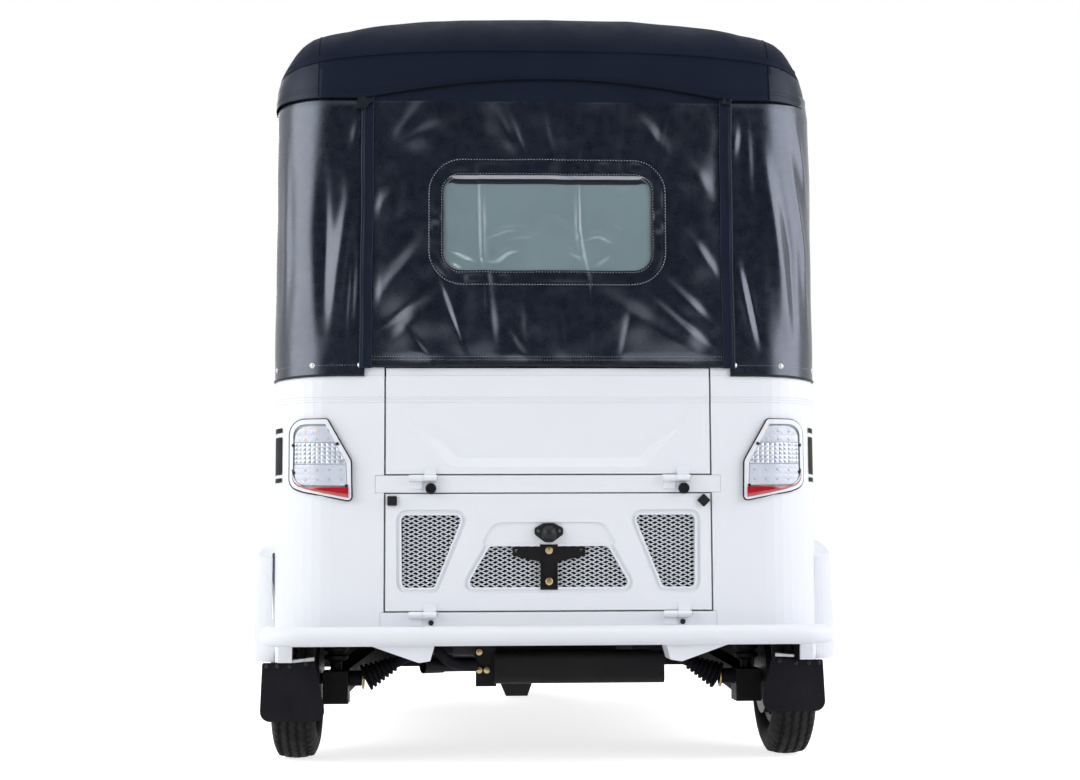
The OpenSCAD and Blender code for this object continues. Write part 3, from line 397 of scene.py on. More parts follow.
hood_corner = shader("hood_corner_vinyl", *NAVY, 7, (0.36, 0.44), 1100, 0.0001, cells=True,
                     Specular_IOR_Level=0.20, Specular_Tint=BLUISH)
binding = shader("hood_binding", (0.0050, 0.0068, 0.0120), (0.0080, 0.0105, 0.0175), 20, (0.40, 0.5), 1500,
                 0.0001, Specular_IOR_Level=0.25)
thread = shader("stitch_thread", (0.42, 0.43, 0.49), (0.30, 0.31, 0.36), 60, (0.5, 0.7), 3000, 0.0001)
dark_thread = shader("dark_thread", (0.0030, 0.0040, 0.0065), (0.0050, 0.0062, 0.0090), 60, (0.6, 0.75), 3000,
                     0.0001, Specular_IOR_Level=0.05)
film = shader("clear_window_vinyl", (0.29, 0.395, 0.430), (0.25, 0.345, 0.375), 6, (0.20, 0.26), 70, 0.0002,
              Transmission_Weight=0.35, IOR=1.4, Specular_IOR_Level=0.6)
# Pale finish of the fold along the window's top: a real fold, with a painted highlight in its light colour
fold_painted_highlight = shader("window_vinyl_fold_painted_highlight", (0.36, 0.37, 0.42), (0.28, 0.29, 0.34), 14, (0.18, 0.3), 70, 0.0003)
glass = shader("windscreen_glass", (0.86, 0.93, 0.93), (0.80, 0.89, 0.90), 3, (0.02, 0.05), 40, 0.00002,
               Transmission_Weight=0.95, IOR=1.45)
seat_vinyl = shader("seat_leathercloth", (0.020, 0.020, 0.023), (0.032, 0.031, 0.034), 12, (0.38, 0.52), 900,
                    0.0004, cells=True)
rubber = shader("rubber", (0.0080, 0.0083, 0.0118), (0.0115, 0.0117, 0.0155), 14, (0.55, 0.75), 700, 0.0002,
                edge=0.001, Specular_IOR_Level=0.09)
tyre_rubber = shader("tyre_rubber", (0.0090, 0.0090, 0.0100), (0.0165, 0.0160, 0.0160), 11, (0.62, 0.85), 650,
                     0.0003, Specular_IOR_Level=0.2)
plastic = shader("black_plastic", (0.0095, 0.0098, 0.0120), (0.0150, 0.0150, 0.0175), 16, (0.38, 0.52), 1600,
                 0.0001, edge=0.0008, Specular_IOR_Level=0.25)
lens_pale = shader("lens_pale", (0.63, 0.67, 0.755), (0.58, 0.625, 0.715), 30, (0.16, 0.24), 900, 0.00005,
                   Coat_Weight=0.4, Coat_Roughness=0.08)
lens_clear = shader("lens_clear", (0.56, 0.60, 0.67), (0.44, 0.48, 0.55), 60, (0.14, 0.24), 1500, 0.00004,
                    Metallic=0.35, Coat_Weight=0.3, Coat_Roughness=0.08)
amber = shader("lamp_amber", (0.86, 0.60, 0.46), (0.84, 0.54, 0.38), 90, (0.2, 0.3), 1200, 0.00004,
               Coat_Weight=1.0)
indicator = shader("indicator_amber", (0.72, 0.25, 0.035), (0.62, 0.19, 0.025), 60, (0.14, 0.24), 900,
                   0.00004, Coat_Weight=0.6)
led = shader("lamp_led", (0.50, 0.54, 0.63), (0.42, 0.46, 0.55), 90, (0.1, 0.2), 1200, 0.00004,
             Coat_Weight=1.0)
red_lens = shader("lamp_red", (0.48, 0.012, 0.022), (0.36, 0.008, 0.015), 40, (0.08, 0.18), 700, 0.0001,
                  edge=0.0008, Coat_Weight=1.0, Coat_Roughness=0.03)
steel = shader("zinc_steel", (0.55, 0.56, 0.57), (0.40, 0.40, 0.41), 50, (0.22, 0.4), 900, 0.00008,
               Metallic=1.0)
brass = shader("yellow_zinc", (0.50, 0.37, 0.19), (0.36, 0.28, 0.17), 70, (0.25, 0.42), 900, 0.0001,
               Metallic=1.0)
alloy = shader("cast_alloy", (0.022, 0.022, 0.024), (0.014, 0.014, 0.016), 20, (0.5, 0.68), 350, 0.0006,
               edge=0.002, Specular_IOR_Level=0.2)
wheel_paint = shader("wheel_paint", (0.030, 0.031, 0.033), (0.020, 0.020, 0.022), 15, (0.3, 0.45), 300,
                     0.0001, edge=0.0015, Metallic=0.4)
stripe_black = shader("stripe_black", (0.008, 0.008, 0.010), (0.012, 0.012, 0.014), 8, (0.5, 0.6), 900,
                      0.00003, Specular_IOR_Level=0.1)

by_slot = {
    "body_paint": white_paint, "dark_paint": black_paint, "grey_paint": grey_paint, "hood_vinyl": hood_side,
    "clear_vinyl": film, "glass": glass, "seat_cover": seat_vinyl, "rubber": rubber, "tyre": tyre_rubber,
    "black_plastic": plastic, "lens": lens_pale, "red_lens": red_lens, "alloy": alloy,
    "wheel_paint": wheel_paint,
}
for sub in frame["record"]["subparts"]:
    data = nodes[sub["node"]].data
    data.materials.clear()
    data.materials.append(by_slot[sub["material_slot"]])

# Hood roof: one crowned sheet over all four sides, with its seams, skirt and rear valance
ROOF_ROWS = 104
CORNER_COLS = 24
# Each straight length: its columns, then the signs of x and y at the corner that follows it
ROOF_SIDES = {"back": (140, -1, -1), "right": (110, 1, -1), "front": (70, 1, 1), "left": (110, -1, 1)}
LEAST_R = 0.004
SKIRT_FLARE = 0.0015
DRAWN_IN = 0.010
WELD = 0.0002
SAG, RIPPLE, SIDE_RIPPLE, SEAM_STEP = 0.007, 0.0016, 0.0012, 0.0030
BUMP_PLACES, BUMP_HIGH = (0.288, -0.205), 0.0016
CORNER_SEAMS = (0.537, -0.527)
EDGE_CORD_R, SEAM_CORD_R = 0.0016, 0.0011
ROOF_STITCH_ROWS, ROOF_STITCH_PITCH = (4, 6), 0.006
SEAM_Z, SEAM_DROP = 1.682, 0.030
CORNER_PANEL_Y = 0.532
CORNER_PANEL_END = FACE + 0.15
BOWS = (FACE + 0.165, FACE + 0.77, FACE + 1.415, HOOD_FRONT - 0.05)
# Drop of the cloth below an even crown, by distance from the middle plane: it is drawn tight over the middle
# bow, runs straight to the corner seams and then falls away
FALL_Y = (0, 0.2, 0.36, 0.47, 0.555, 0.58, 0.61, 0.635, 0.65)
FALL_Z = (-0.009, -0.006, 0.005, 0.009, 0.001, 0.004, 0.016, 0.027, 0.031)


def roof_line():
    """Columns round the roof: (side, fraction along it) or ("corner", angle, sign of x, sign of y)."""
    cols = []
    for kind, (count, sx, sy) in ROOF_SIDES.items():
        cols += [(kind, f) for f in np.linspace(0, 1, count + 1)[:-1]]
        cols += [("corner", a, sx, sy) for a in np.linspace(0, 90, CORNER_COLS + 1)[:-1]]
    return cols


def roof_point(col, a, out):
    """Point of a column at crown angle a."""
    d = HOOD_Y * (1 - max(math.cos(a), 0.0) ** ROOF_POWER)
    z = SKIRT_Z + (ROOF_Z - SKIRT_Z) * math.sin(a) ** ROOF_POWER
    r = min(max(WRAP_R * (1 - d / HOOD_Y), LEAST_R), HOOD_Y - d)
    x0, x1, y = BACK + REAR_LEAN * d, HOOD_FRONT - d, HOOD_Y - d
    kind = col[0]
    if kind == "corner":
        t, sx, sy = math.radians(col[1]), col[2], col[3]
        c = (x0 + r if sx < 0 else x1 - r, sy * (y - r))
        swing = math.cos(t) if sx * sy > 0 else math.sin(t)
        other = math.sin(t) if sx * sy > 0 else math.cos(t)
        return Vector((c[0] + sx * (r + out) * swing, c[1] + sy * (r + out) * other, z))
    f = col[1]
    if kind == "back":
        return Vector((x0 - out, (y - r) * (1 - 2 * f), z))
    if kind == "front":
        return Vector((x1 + out, (r - y) * (1 - 2 * f), z))
    x = (x0 + r) + (x1 - x0 - 2 * r) * (f if kind == "right" else 1 - f)
    return Vector((x, -y - out if kind == "right" else y + out, z))


def shoulder_fall(y, z):
    """Drop of the cloth at a point of an even crown."""
    return np.interp(np.abs(y), FALL_Y, FALL_Z) * ramp(z - SKIRT_Z, 0.12)


def valance_rise(y):
    """Height of the rear valance's lower edge over the skirt."""
    r = (CURTAIN_HALF ** 2 + FLAP_RISE ** 2) / (2 * FLAP_RISE)
    return FLAP_RISE - r + math.sqrt(r * r - y * y) if abs(y) < CURTAIN_HALF else 0.0


def seam_height(y):
    """Height of the seam across the back of the roof: higher in the middle than at the corners."""
    return SEAM_Z - SEAM_DROP * np.clip(np.abs(y) / 0.54, 0, 2) ** 3.0


def roof_lift(x, y, z):
    """Lift of the roof's cloth: it sags between the bows, ripples, and steps up over the seam at the back."""
    crown = ramp(z - 1.70, 0.08)
    sag = sum(np.sin(math.pi * ramp(x - b0, b1 - b0)) ** 2 for b0, b1 in zip(BOWS, BOWS[1:]))
    lift = -SAG * sag * crown
    lift += RIPPLE * np.sin(31 * y + 9 * x) * np.sin(17 * x + 4) * crown
    lift += SIDE_RIPPLE * (np.abs(y) > 0.6) * np.sin(46 * x + 20 * z) * ramp(1.72 - z, 0.1)
    lift += ramp(CORNER_PANEL_END - x, 0.1) * SEAM_STEP / (1 + np.exp(-(z - seam_height(y)) / 0.0022))
    for bump_y in BUMP_PLACES:
        lift += BUMP_HIGH * bell(y - bump_y, 0.045) * bell(x - FACE - 0.12, 0.09) * crown
    return lift


def build_roof():
    cols = roof_line()
    pts = np.zeros((ROOF_ROWS, len(cols), 3))
    for j, col in enumerate(cols):
        low = 0.0
        if col[0] == "back":
            rise = valance_rise((HOOD_Y - WRAP_R) * (1 - 2 * col[1]))
            low = math.asin((max(rise, 0.0) / (ROOF_Z - SKIRT_Z)) ** (1 / ROOF_POWER))
        for i in range(ROOF_ROWS):
            f = i / (ROOF_ROWS - 1)
            a = low + (math.pi / 2 - low) * f ** 1.5
            pts[i, j] = roof_point(col, a, SKIRT_FLARE * (1 - f) ** 6)
    pts[..., 2] -= shoulder_fall(pts[..., 1], pts[..., 2])
    # The right rear edge is drawn in
    pts[..., 1] += DRAWN_IN * ramp(-pts[..., 1] - 0.53, 0.08) * ramp(FACE + 0.6 - pts[..., 0], 0.4)
    n = grid_normals(np.concatenate([pts, pts[:, :1]], 1))[:, :-1]
    n[-1] = (0, 0, 1)
    pts += n * roof_lift(pts[..., 0], pts[..., 1], pts[..., 2])[..., None]
    cover = add_grid("hood_roof_cover", pts, hood_top, "hood_vinyl", closed=True)
    mesh = bmesh.new()
    mesh.from_mesh(cover.data)
    bmesh.ops.remove_doubles(mesh, verts=mesh.verts, dist=WELD)
    mesh.to_mesh(cover.data)
    mesh.free()
    cover.data.materials.append(hood_corner)
    for poly in cover.data.polygons:
        c = poly.center
        if abs(c.y) > CORNER_PANEL_Y and c.z < seam_height(c.y) - 0.004 and c.x < CORNER_PANEL_END:
            poly.material_index = 1
    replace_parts(cover, "hood_roof")
    return cover, pts, n


def across_back(row, y):
    """Point of a roof row at a given y on the back or its corners."""
    p = row[row[:, 0] < FACE + 0.5]
    p = p[np.argsort(p[:, 1])]
    return [float(np.interp(y, p[:, 1], p[:, k])) for k in range(3)]


# The seam lip's section: distance up the cloth, height off it, and whether that height fades to the ends
SEAM_LIP = [(0.014, 0.0006, False), (0.006, 0.0026, True), (-0.001, 0.0046, True), (-0.0025, 0.0040, True),
            (-0.001, 0.0004, False)]


def build_seam_lip():
    """The upper panel's free edge along the seam across the back, which shades the panel below it."""
    rows = []
    for j in np.argsort(-roof_pts[0, :, 1]):
        col = roof_pts[:, j]
        if col[0, 0] < FACE + 0.06:
            k = int(np.argmax(col[:, 2] > seam_height(col[:, 1])))
            f = (seam_height(col[k, 1]) - col[k - 1, 2]) / (col[k, 2] - col[k - 1, 2])
            at = col[k - 1] + (col[k] - col[k - 1]) * f
            up = (col[k + 1] - col[k - 1]) / np.linalg.norm(col[k + 1] - col[k - 1])
            n = roof_nrm[k, j] if roof_nrm[k, j, 0] < 0 else -roof_nrm[k, j]
            fade = min(1.0, max(0.15, (0.60 - abs(at[1])) / 0.15))
            rows.append([at + up * rise + n * out * (fade if fades else 1) for rise, out, fades in SEAM_LIP])
    return add_grid("hood_roof_seam", np.array(rows), hood_top, "hood_vinyl")


def area(obj):
    """Surface area of a mesh piece."""
    return sum(p.area for p in obj.data.polygons)


roof_cover, roof_pts, roof_nrm = build_roof()
roof_trim, roof_stitch = Heap(), Heap()
tube(roof_trim, roof_pts[0], EDGE_CORD_R, closed=True)
for seam_y in CORNER_SEAMS:
    line = [across_back(roof_pts[i] + roof_nrm[i] * 0.0002, seam_y) for i in range(1, 90)
            if np.max(np.abs(roof_pts[i, :, 1])) > abs(seam_y) + 0.003]
    tube(roof_trim, line, SEAM_CORD_R, 6)
trim = roof_trim.add("hood_roof_binding", dark_thread, slot="hood_vinyl")
seam_lip = build_seam_lip()
for row in ROOF_STITCH_ROWS:
    stitches(roof_stitch, roof_pts[row] + roof_nrm[row] * 0.0004, roof_nrm[row], ROOF_STITCH_PITCH)
roof_sewn = roof_stitch.add("hood_roof_stitching", dark_thread, slot="hood_vinyl")
a = area(roof_cover)

# Quarter curtains: gathered cloth round each rear corner, pinned to the belt by studs
# Each fold: points (distance from the curtain's edge, height), half widths on its two sides, height; in mm
LEFT_FOLDS = [
    ([(42, 1470), (30, 1330), (57, 1140), (72, 930)], 17, 24, 9),
    ([(16, 1260), (33, 940)], 7, 9, 5),
    ([(88, 1450), (89, 960)], 15, 15, -7),
    ([(140, 1545), (146, 925)], 36, 36, 4),
    ([(4, 1540), (26, 1420)], 12, 10, 4),
    ([(205, 1540), (196, 1200), (214, 930)], 18, 14, 4),
    ([(300, 1560), (330, 1250), (318, 930)], 26, 22, 5),
    ([(430, 1560), (455, 1180), (440, 930)], 30, 26, 5),
    ([(560, 1560), (600, 930)], 30, 34, 4),
    ([(720, 1560), (752, 1200), (735, 930)], 30, 28, 5),
    ([(880, 1560), (905, 930)], 34, 28, 4),
    ([(990, 1560), (1000, 930)], 14, 14, 3),
]
RIGHT_FOLDS = [
    ([(17, 1530), (4, 1405)], 12, 14, 6),
    ([(69, 1505), (96, 1340), (123, 1145), (140, 935)], 15, 21, 8),
    ([(104, 1460), (153, 1205), (163, 940)], 9, 11, -5),
    ([(131, 1530), (202, 1210), (218, 940)], 9, 12, 5),
    ([(7, 1210), (60, 935)], 10, 14, 6),
    ([(24, 1200), (77, 940)], 9, 9, -5),
    ([(40, 1560), (48, 1300)], 9, 12, 3),
    ([(170, 1540), (228, 1300)], 10, 10, 4),
    ([(270, 1560), (330, 1200), (345, 930)], 20, 26, 6),
    ([(430, 1560), (470, 1180), (480, 930)], 28, 30, 5),
    ([(600, 1560), (628, 930)], 30, 32, 4),
    ([(760, 1560), (770, 1200), (742, 930)], 28, 30, 5),
    ([(900, 1560), (880, 930)], 30, 26, 4),
    ([(1000, 1560), (992, 930)], 14, 14, 3),
]
QUARTER_FOOT = 0.909
QUARTER_HEM = 0.96
QUARTER_TOP = 1.592
QUARTER_STITCH_Z = 0.932
BINDING_R = 0.003
STUD_PLACES = (0.006, 0.118, 0.250, 0.42, 0.62, 0.82, 1.02)
STUD_ROW = 5
STUD_R, STUD_HIGH = 0.0052, 0.0034
STUD_RING = [(0.0066, -0.001), (0.0066, 0.0009), (0.0050, 0.0012)]


def quarter_lift(table, s, z):
    """Outward lift of a quarter curtain's cloth."""
    e = s - CURTAIN_HALF
    held = ramp(z - QUARTER_FOOT - 0.008, 0.05) * ramp(1.60 - z, 0.06, 0.15)
    lift = folds(table, e, z) * held
    lift += 0.0010 * np.sin(24 * e + 11 * z) * np.sin(19 * z - 6 * e) * held
    return np.maximum(lift, -0.0035 - 0.006 * held)


def build_quarter(side, name, table):
    s = np.linspace(CURTAIN_HALF - 0.006, QUARTER_END, 215)
    z = np.concatenate([np.linspace(QUARTER_FOOT, QUARTER_HEM, 12)[:-1],
                        np.linspace(QUARTER_HEM, QUARTER_TOP, 92)])
    S, Z = np.meshgrid(s, z)
    drop = 0.004 * ramp(QUARTER_HEM - Z, 0.05) * bell(S - CURTAIN_HALF - 0.25, 0.12)
    tuck = 0.0045 * ramp(Z - 1.545, 0.03)
    pts = wrap(S, Z - drop, 0.0035 + quarter_lift(table, S, Z) * (1 - tuck / 0.006) - tuck, side)
    cloth = add_grid(f"hood_quarter_{name}", pts, hood_side, "hood_vinyl")
    trim, sewn, studs = Heap(), Heap(), Heap()
    tube(trim, pts[0], BINDING_R)
    tube(trim, pts[:, -1], BINDING_R)
    n = wrap_normal(s, side)
    level = int(np.argmin(np.abs(z - QUARTER_STITCH_Z)))
    stitches(sewn, pts[level] + n * 0.0002, n, 0.006, height=0.0007)
    for e in STUD_PLACES:
        i = int(np.argmin(np.abs(s - CURTAIN_HALF - e)))
        dome(studs, pts[STUD_ROW, i], n[i], STUD_R, STUD_HIGH)
        lathe(studs, pts[STUD_ROW, i], n[i], STUD_RING, 16)
    pieces = [trim.add(f"hood_quarter_{name}_binding", binding, slot="hood_vinyl"),
              sewn.add(f"hood_quarter_{name}_stitching", thread, slot="hood_vinyl"),
              studs.add(f"hood_quarter_{name}_studs", steel)]
    size = area(cloth)
    return cloth


quarter_left = build_quarter(1, "left", LEFT_FOLDS)
build_quarter(-1, "right", RIGHT_FOLDS)
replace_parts(quarter_left, "hood_quarters")

# Rear curtain: folds run from the corners of its window to the corners of the cloth
# Each fold: points (y, z) along it, half widths on its two sides, height; in mm
CURTAIN_FOLDS = [
    ([(178, 1640), (159, 1381), (154, 1197), (143, 1123), (138, 860)], 4, 13, 2.8),
    ([(-93, 1640), (-71, 1406), (-73, 1256), (-95, 1129), (-104, 860)], 12, 4, 2.8),
    ([(268, 1590), (318, 1510), (372, 1440)], 20, 46, 8.5),
    ([(232, 1512), (310, 1466), (376, 1436)], 18, 40, 7),
    ([(136, 1560), (98, 1478), (70, 1410)], 34, 13, 5.5),
    ([(104, 1556), (72, 1466), (40, 1390)], 30, 12, 5.5),
    ([(20, 1590), (4, 1480), (-16, 1400)], 40, 11, 3),
    ([(-190, 1560), (-244, 1480), (-300, 1400)], 44, 19, 7.5),
    ([(-306, 1580), (-280, 1460), (-262, 1360)], 9, 34, 4),
    ([(260, 1262), (344, 1144), (420, 1040)], 23, 56, 10.5),
    ([(190, 1160), (312, 1026), (420, 910)], 28, 64, 12.5),
    ([(262, 1098), (346, 1034), (424, 980)], 13, 36, 6),
    ([(276, 1190), (222, 1035), (170, 890)], 26, 5, 5),
    ([(352, 1040), (300, 972), (240, 900)], 30, 8, 4),
    ([(146, 1160), (134, 1030), (126, 890)], 46, 16, 6.5),
    ([(120, 1040), (64, 958), (20, 890)], 38, 14, 6.5),
    ([(54, 1150), (45, 1030), (36, 900)], 16, 42, 5.5),
    ([(-14, 1130), (-26, 1010), (-36, 890)], 38, 15, 5),
    ([(-206, 1100), (-184, 990), (-166, 890)], 14, 38, 6.5),
    ([(-60, 1130), (-262, 1004), (-430, 902)], 64, 30, 13),
    ([(-190, 1130), (-312, 1022), (-424, 930)], 38, 15, 8),
    ([(-240, 1164), (-332, 1072), (-424, 986)], 42, 17, 9),
    ([(-300, 1276), (-368, 1178), (-424, 1090)], 42, 17, 8),
    ([(-310, 1440), (-356, 1366), (-400, 1290)], 46, 22, 5.5),
    ([(330, 1376), (372, 1322), (412, 1262)], 20, 42, 5.5),
]
# Wrinkles of the window, given in the same way
FILM_FOLDS = [
    ([(156, 1405), (154, 1197), (150, 1130)], 2.5, 6, 1.8),
    ([(-72, 1405), (-73, 1256), (-86, 1130)], 6, 2.5, 1.8),
    ([(172, 1222), (100, 1252), (20, 1258)], 4, 8, 1.8),
    ([(180, 1192), (130, 1178), (96, 1200), (30, 1212)], 4, 9, 2.0),
    ([(248, 1215), (180, 1185), (150, 1178)], 5, 9, 1.8),
    ([(134, 1160), (76, 1218)], 4, 7, 1.6),
    ([(66, 1165), (20, 1235), (-26, 1247)], 5, 9, 1.4),
    ([(110, 1232), (40, 1238), (0, 1228)], 3, 7, 1.4),
    ([(-50, 1222), (-120, 1240), (-180, 1212)], 4, 9, 1.6),
    ([(-90, 1236), (-20, 1280), (26, 1286)], 4, 8, 1.6),
    ([(-96, 1176), (-24, 1224)], 4, 8, 1.6),
    ([(-100, 1160), (-158, 1205)], 4, 8, 1.4),
    ([(-146, 1266), (-180, 1240)], 4, 6, 1.6),
    ([(-150, 1330), (-200, 1352)], 6, 9, 1.4),
    ([(-112, 1310), (-160, 1296)], 4, 8, 1.2),
    ([(236, 1318), (174, 1347)], 6, 9, 1.2),
    ([(228, 1180), (196, 1160)], 4, 7, 1.4),
]
# Each wave: length in m, lean, shift in radians, height in mm
CURTAIN_WAVES = [(0.23, 0.35, 0.4, 2.6), (0.16, -0.5, 1.9, 1.8), (0.11, 0.8, 3.1, 0.8)]
# Height where the valance starts to cover the curtain
BAND_Z = 1.557
HOLE = rounded(box2(-0.262, 0.262, 1.137, 1.400), 0.060, 8)
WINDOW = rounded(box2(-0.246, 0.246, 1.153, 1.382), 0.042, 8)
PATCH = rounded(box2(-0.279, 0.279, 1.120, 1.420), 0.080, 8)
FILM_EDGE = rounded(box2(-0.254, 0.254, 1.145, 1.390), 0.050, 8)
# The patch's section from the window to its outer edge: fraction across it, height off the cloth
PATCH_SECTION = [(0.0, -0.0012), (0.02, 0.0014), (0.06, 0.0020), (0.14, 0.0014), (0.25, 0.0020),
                 (0.5, 0.0024), (0.75, 0.0020), (0.90, 0.0012), (0.96, 0.0018), (0.99, 0.0012),
                 (1.0, -0.0008)]
# Rolls along the window's top: name, finish, low and high edge, height off the cloth. The fold is a real roll
# of the film, and its pale finish is also a painted highlight; the hem below it is a dark strip of painted
# shadow
ROLLS = (("rear_window_fold_painted_highlight", fold_painted_highlight, 1.3715, 1.3835, 0.0040),
         ("rear_window_hem_painted_shadow", binding, 1.3600, 1.3730, 0.0018))
ROLL_HALF = 0.232
FILM_HALF, FILM_LOW, FILM_TOP = 0.256, 1.143, 1.392
FILM_BEHIND, FILM_WRINKLE = 0.0022, 1.8
FOOT_BINDING_R, WINDOW_BINDING_R = 0.0034, 0.0024
HEM_STITCHES = (0.9445, 0.952)
# Stitch rows of the patch as fractions across it, and their pitch, length, width and height
PATCH_STITCHES, PATCH_STITCH = (0.06, 0.94), (0.0067, 0.0032, 0.0024, 0.0016)
# Closing strips: place across the back, and a section of distance across the strip and height
STRIP_Y = 0.423
STRIP_SECTION = [(-0.0150, 0.0), (-0.0150, 0.0022), (-0.0138, 0.0032), (-0.0100, 0.0029), (0.0040, 0.0029),
                 (0.0066, 0.0034), (0.0080, 0.0046), (0.0106, 0.0052), (0.0132, 0.0044), (0.0142, 0.0022),
                 (0.0142, 0.0)]
# Outline of the folded tab at the top of each strip: distance across the strip, height
TABS = {
    "left": [(0.028, 1.535), (0.004, 1.536), (-0.006, 1.549), (-0.016, 1.553), (-0.012, 1.560),
             (0.020, 1.564)],
    "right": [(0.012, 1.552), (-0.006, 1.553), (-0.010, 1.558), (-0.003, 1.572), (0.003, 1.560),
              (0.014, 1.559)],
}


def curtain_lift(y, z):
    """Outward lift of the rear curtain's cloth."""
    edge = ramp(0.425 - np.abs(y), 0.035) * ramp(1.62 - z, 0.06)
    hem = ramp(z - CURTAIN_FOOT, 0.03, 0.45)
    lift = folds(CURTAIN_FOLDS, y, z) * edge * hem
    lift += 0.0012 * np.sin(17 * y + 5 * z) * np.sin(13 * z + 2) * edge
    for wide, lean, shift, high in CURTAIN_WAVES:
        across = np.sin((y + lean * z) * 2 * math.pi / wide + shift)
        along = np.cos((z - lean * y) * 4.1 / wide + 2 * shift)
        lift += high / 1000 * across * along * edge * hem
    return lift


def curtain_point(y, z, out=0.0):
    """Point on the rear curtain's cloth, or off it to the rear."""
    y, z = np.broadcast_arrays(np.asarray(y, float), np.asarray(z, float))
    tuck = 0.0030 * ramp(z - 1.556, 0.03)
    return np.stack([BACK + 0.0015 + tuck - curtain_lift(y, z) - out, y, z], -1)


def densify(points, other, step):
    """Both outlines with points added along their sides, in step with each other."""
    p, q = [], []
    for i in range(len(points)):
        m = max(1, round(math.dist(points[i - 1], points[i]) / step))
        for outline, made in ((points, p), (other, q)):
            a, b = np.array(outline[i - 1]), np.array(outline[i])
            made += [a + (b - a) * k / m for k in range(m)]
    return np.array(p), np.array(q)


def build_cloth():
    """The curtain with a hole for its window, in the roof's finish where the valance covers it."""
    y = np.linspace(-CURTAIN_HALF, CURTAIN_HALF, 201)
    top = np.array([SKIRT_Z + valance_rise(v) + 0.022 for v in y])
    t = np.linspace(0, 1, 146)[:, None]
    low = CURTAIN_FOOT + t * (BAND_Z - CURTAIN_FOOT) + (1 - t) ** 8 * 0.004 * np.cos(y / CURTAIN_HALF * 1.4)
    Z = np.concatenate([low, BAND_Z + np.linspace(0, 1, 11)[1:, None] * (top - BAND_Z)])
    Y = np.broadcast_to(y, Z.shape)
    pts = curtain_point(Y, Z)
    keep = ~inside(HOLE, cell_mids(Y), cell_mids(Z))
    cloth = add_grid("rear_curtain_cloth", pts, hood_side, "hood_vinyl", keep=keep)
    cloth.data.materials.append(hood_top)
    for poly in cloth.data.polygons:
        if poly.center.z > BAND_Z:
            poly.material_index = 1
    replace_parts(cloth, "rear_curtain")
    return cloth, y, pts[0]


def build_patch(inner, outer):
    """The reinforcing patch round the window, with puckers."""
    turn = np.arange(len(inner))
    pucker = 0.0020 * np.sin(turn * 0.55) + 0.0012 * np.sin(turn * 0.9 + 2)
    pucker = pucker * (0.5 + 0.5 * np.sin(turn * 0.06 + 1.5))
    rows = []
    for f, h in PATCH_SECTION:
        p = inner + (outer - inner) * f
        rows.append(curtain_point(p[:, 0], p[:, 1], h + pucker * math.sin(math.pi * f)))
    return add_grid("rear_window_patch", np.array(rows), hood_side, "hood_vinyl", closed=True)


def build_film():
    """The clear window, wrinkled and sewn in behind the patch."""
    Y, Z = np.meshgrid(np.linspace(-FILM_HALF, FILM_HALF, 129), np.linspace(FILM_LOW, FILM_TOP, 64))
    pane = curtain_point(Y, Z, -FILM_BEHIND)
    pane[..., 0] -= FILM_WRINKLE * folds(FILM_FOLDS, Y, Z)
    keep = inside(FILM_EDGE, cell_mids(Y), cell_mids(Z))
    window = add_grid("rear_window_film", pane, film, "clear_vinyl", keep=keep)
    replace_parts(window, "rear_window")
    return window


def build_roll(name, mat, low, high, out):
    """A rolled edge along the window's top, thinner and lower at its ends."""
    t = np.linspace(-1, 1, 97)
    end = ramp(np.abs(t) - 0.93, 0.07)
    rows = []
    for f in np.linspace(0, 1, 9):
        z = high - (high - low) * f * (1 - 0.8 * end) - 0.010 * end ** 2
        rows.append(curtain_point(t * ROLL_HALF, z, out * math.sin(math.pi * f) - 0.0008))
    return add_grid(name, np.array(rows), mat, "clear_vinyl")


def build_strips():
    """The upright closing strips over the curtain's two edges, with a folded tab at the top of each."""
    made = []
    for side, name in SIDES:
        rows = []
        for v in np.linspace(CURTAIN_FOOT - 0.004, 1.566, 90):
            sway = 0.0012 * math.sin(7 * v + side) + 0.0006 * math.sin(23 * v)
            rows.append([(BACK + 0.001 - h * (1 + 0.12 * math.sin(31 * v + e * 90)),
                          side * (STRIP_Y + e) + sway, v) for e, h in STRIP_SECTION])
        made.append(add_grid(f"rear_curtain_strip_{name}", np.array(rows), hood_corner, "hood_vinyl"))
        tab = TABS[name]
        front = [(BACK - 0.0088, side * (STRIP_Y + e), v) for e, v in tab]
        rear = [(BACK - 0.0030, side * (STRIP_Y + e * 1.06), v) for e, v in tab]
        m = len(tab)
        faces = [tuple(range(m))] + [(i, (i + 1) % m, m + (i + 1) % m, m + i) for i in range(m)]
        made.append(add(f"rear_curtain_tab_{name}", front + rear, faces, binding, slot="hood_vinyl",
                        smooth=False))
    return made


def build_curtain():
    cloth, y, foot = build_cloth()
    inner, outer = densify(WINDOW, PATCH, 0.006)
    patch = build_patch(inner, outer)
    sewn, trim = Heap(), Heap()
    for f in PATCH_STITCHES:
        p = inner + (outer - inner) * f
        line = curtain_point(p[:, 0], p[:, 1], 0.0018)
        line = np.concatenate([line, line[:1]])
        stitches(sewn, line, np.tile(REARWARD, (len(line), 1)), *PATCH_STITCH)
    for v in HEM_STITCHES:
        line = curtain_point(y[4:-4], v, 0.0003)
        stitches(sewn, line, np.tile(REARWARD, (len(line), 1)), 0.006, height=0.0006)
    tube(trim, foot, FOOT_BINDING_R)
    tube(trim, curtain_point(inner[:, 0], inner[:, 1], 0.0006), WINDOW_BINDING_R, closed=True)
    window = build_film()
    strips = build_strips()
    # The dark hem roll under the window's top fold is a strip of painted shadow, and the fold's pale finish
    # is a painted highlight
    rolls = [build_roll(*row) for row in ROLLS]
    pieces = [patch, *rolls, sewn.add("rear_curtain_stitching", thread, slot="hood_vinyl"),
              trim.add("rear_curtain_binding", binding, slot="hood_vinyl"), *strips]
    area(cloth)


build_curtain()

# Seats: padded by a cloth simulation, with sewn channels
SEAT_INSET = 0.007
CHANNEL_HALF = 0.007
CLOTH_FRAMES = 20


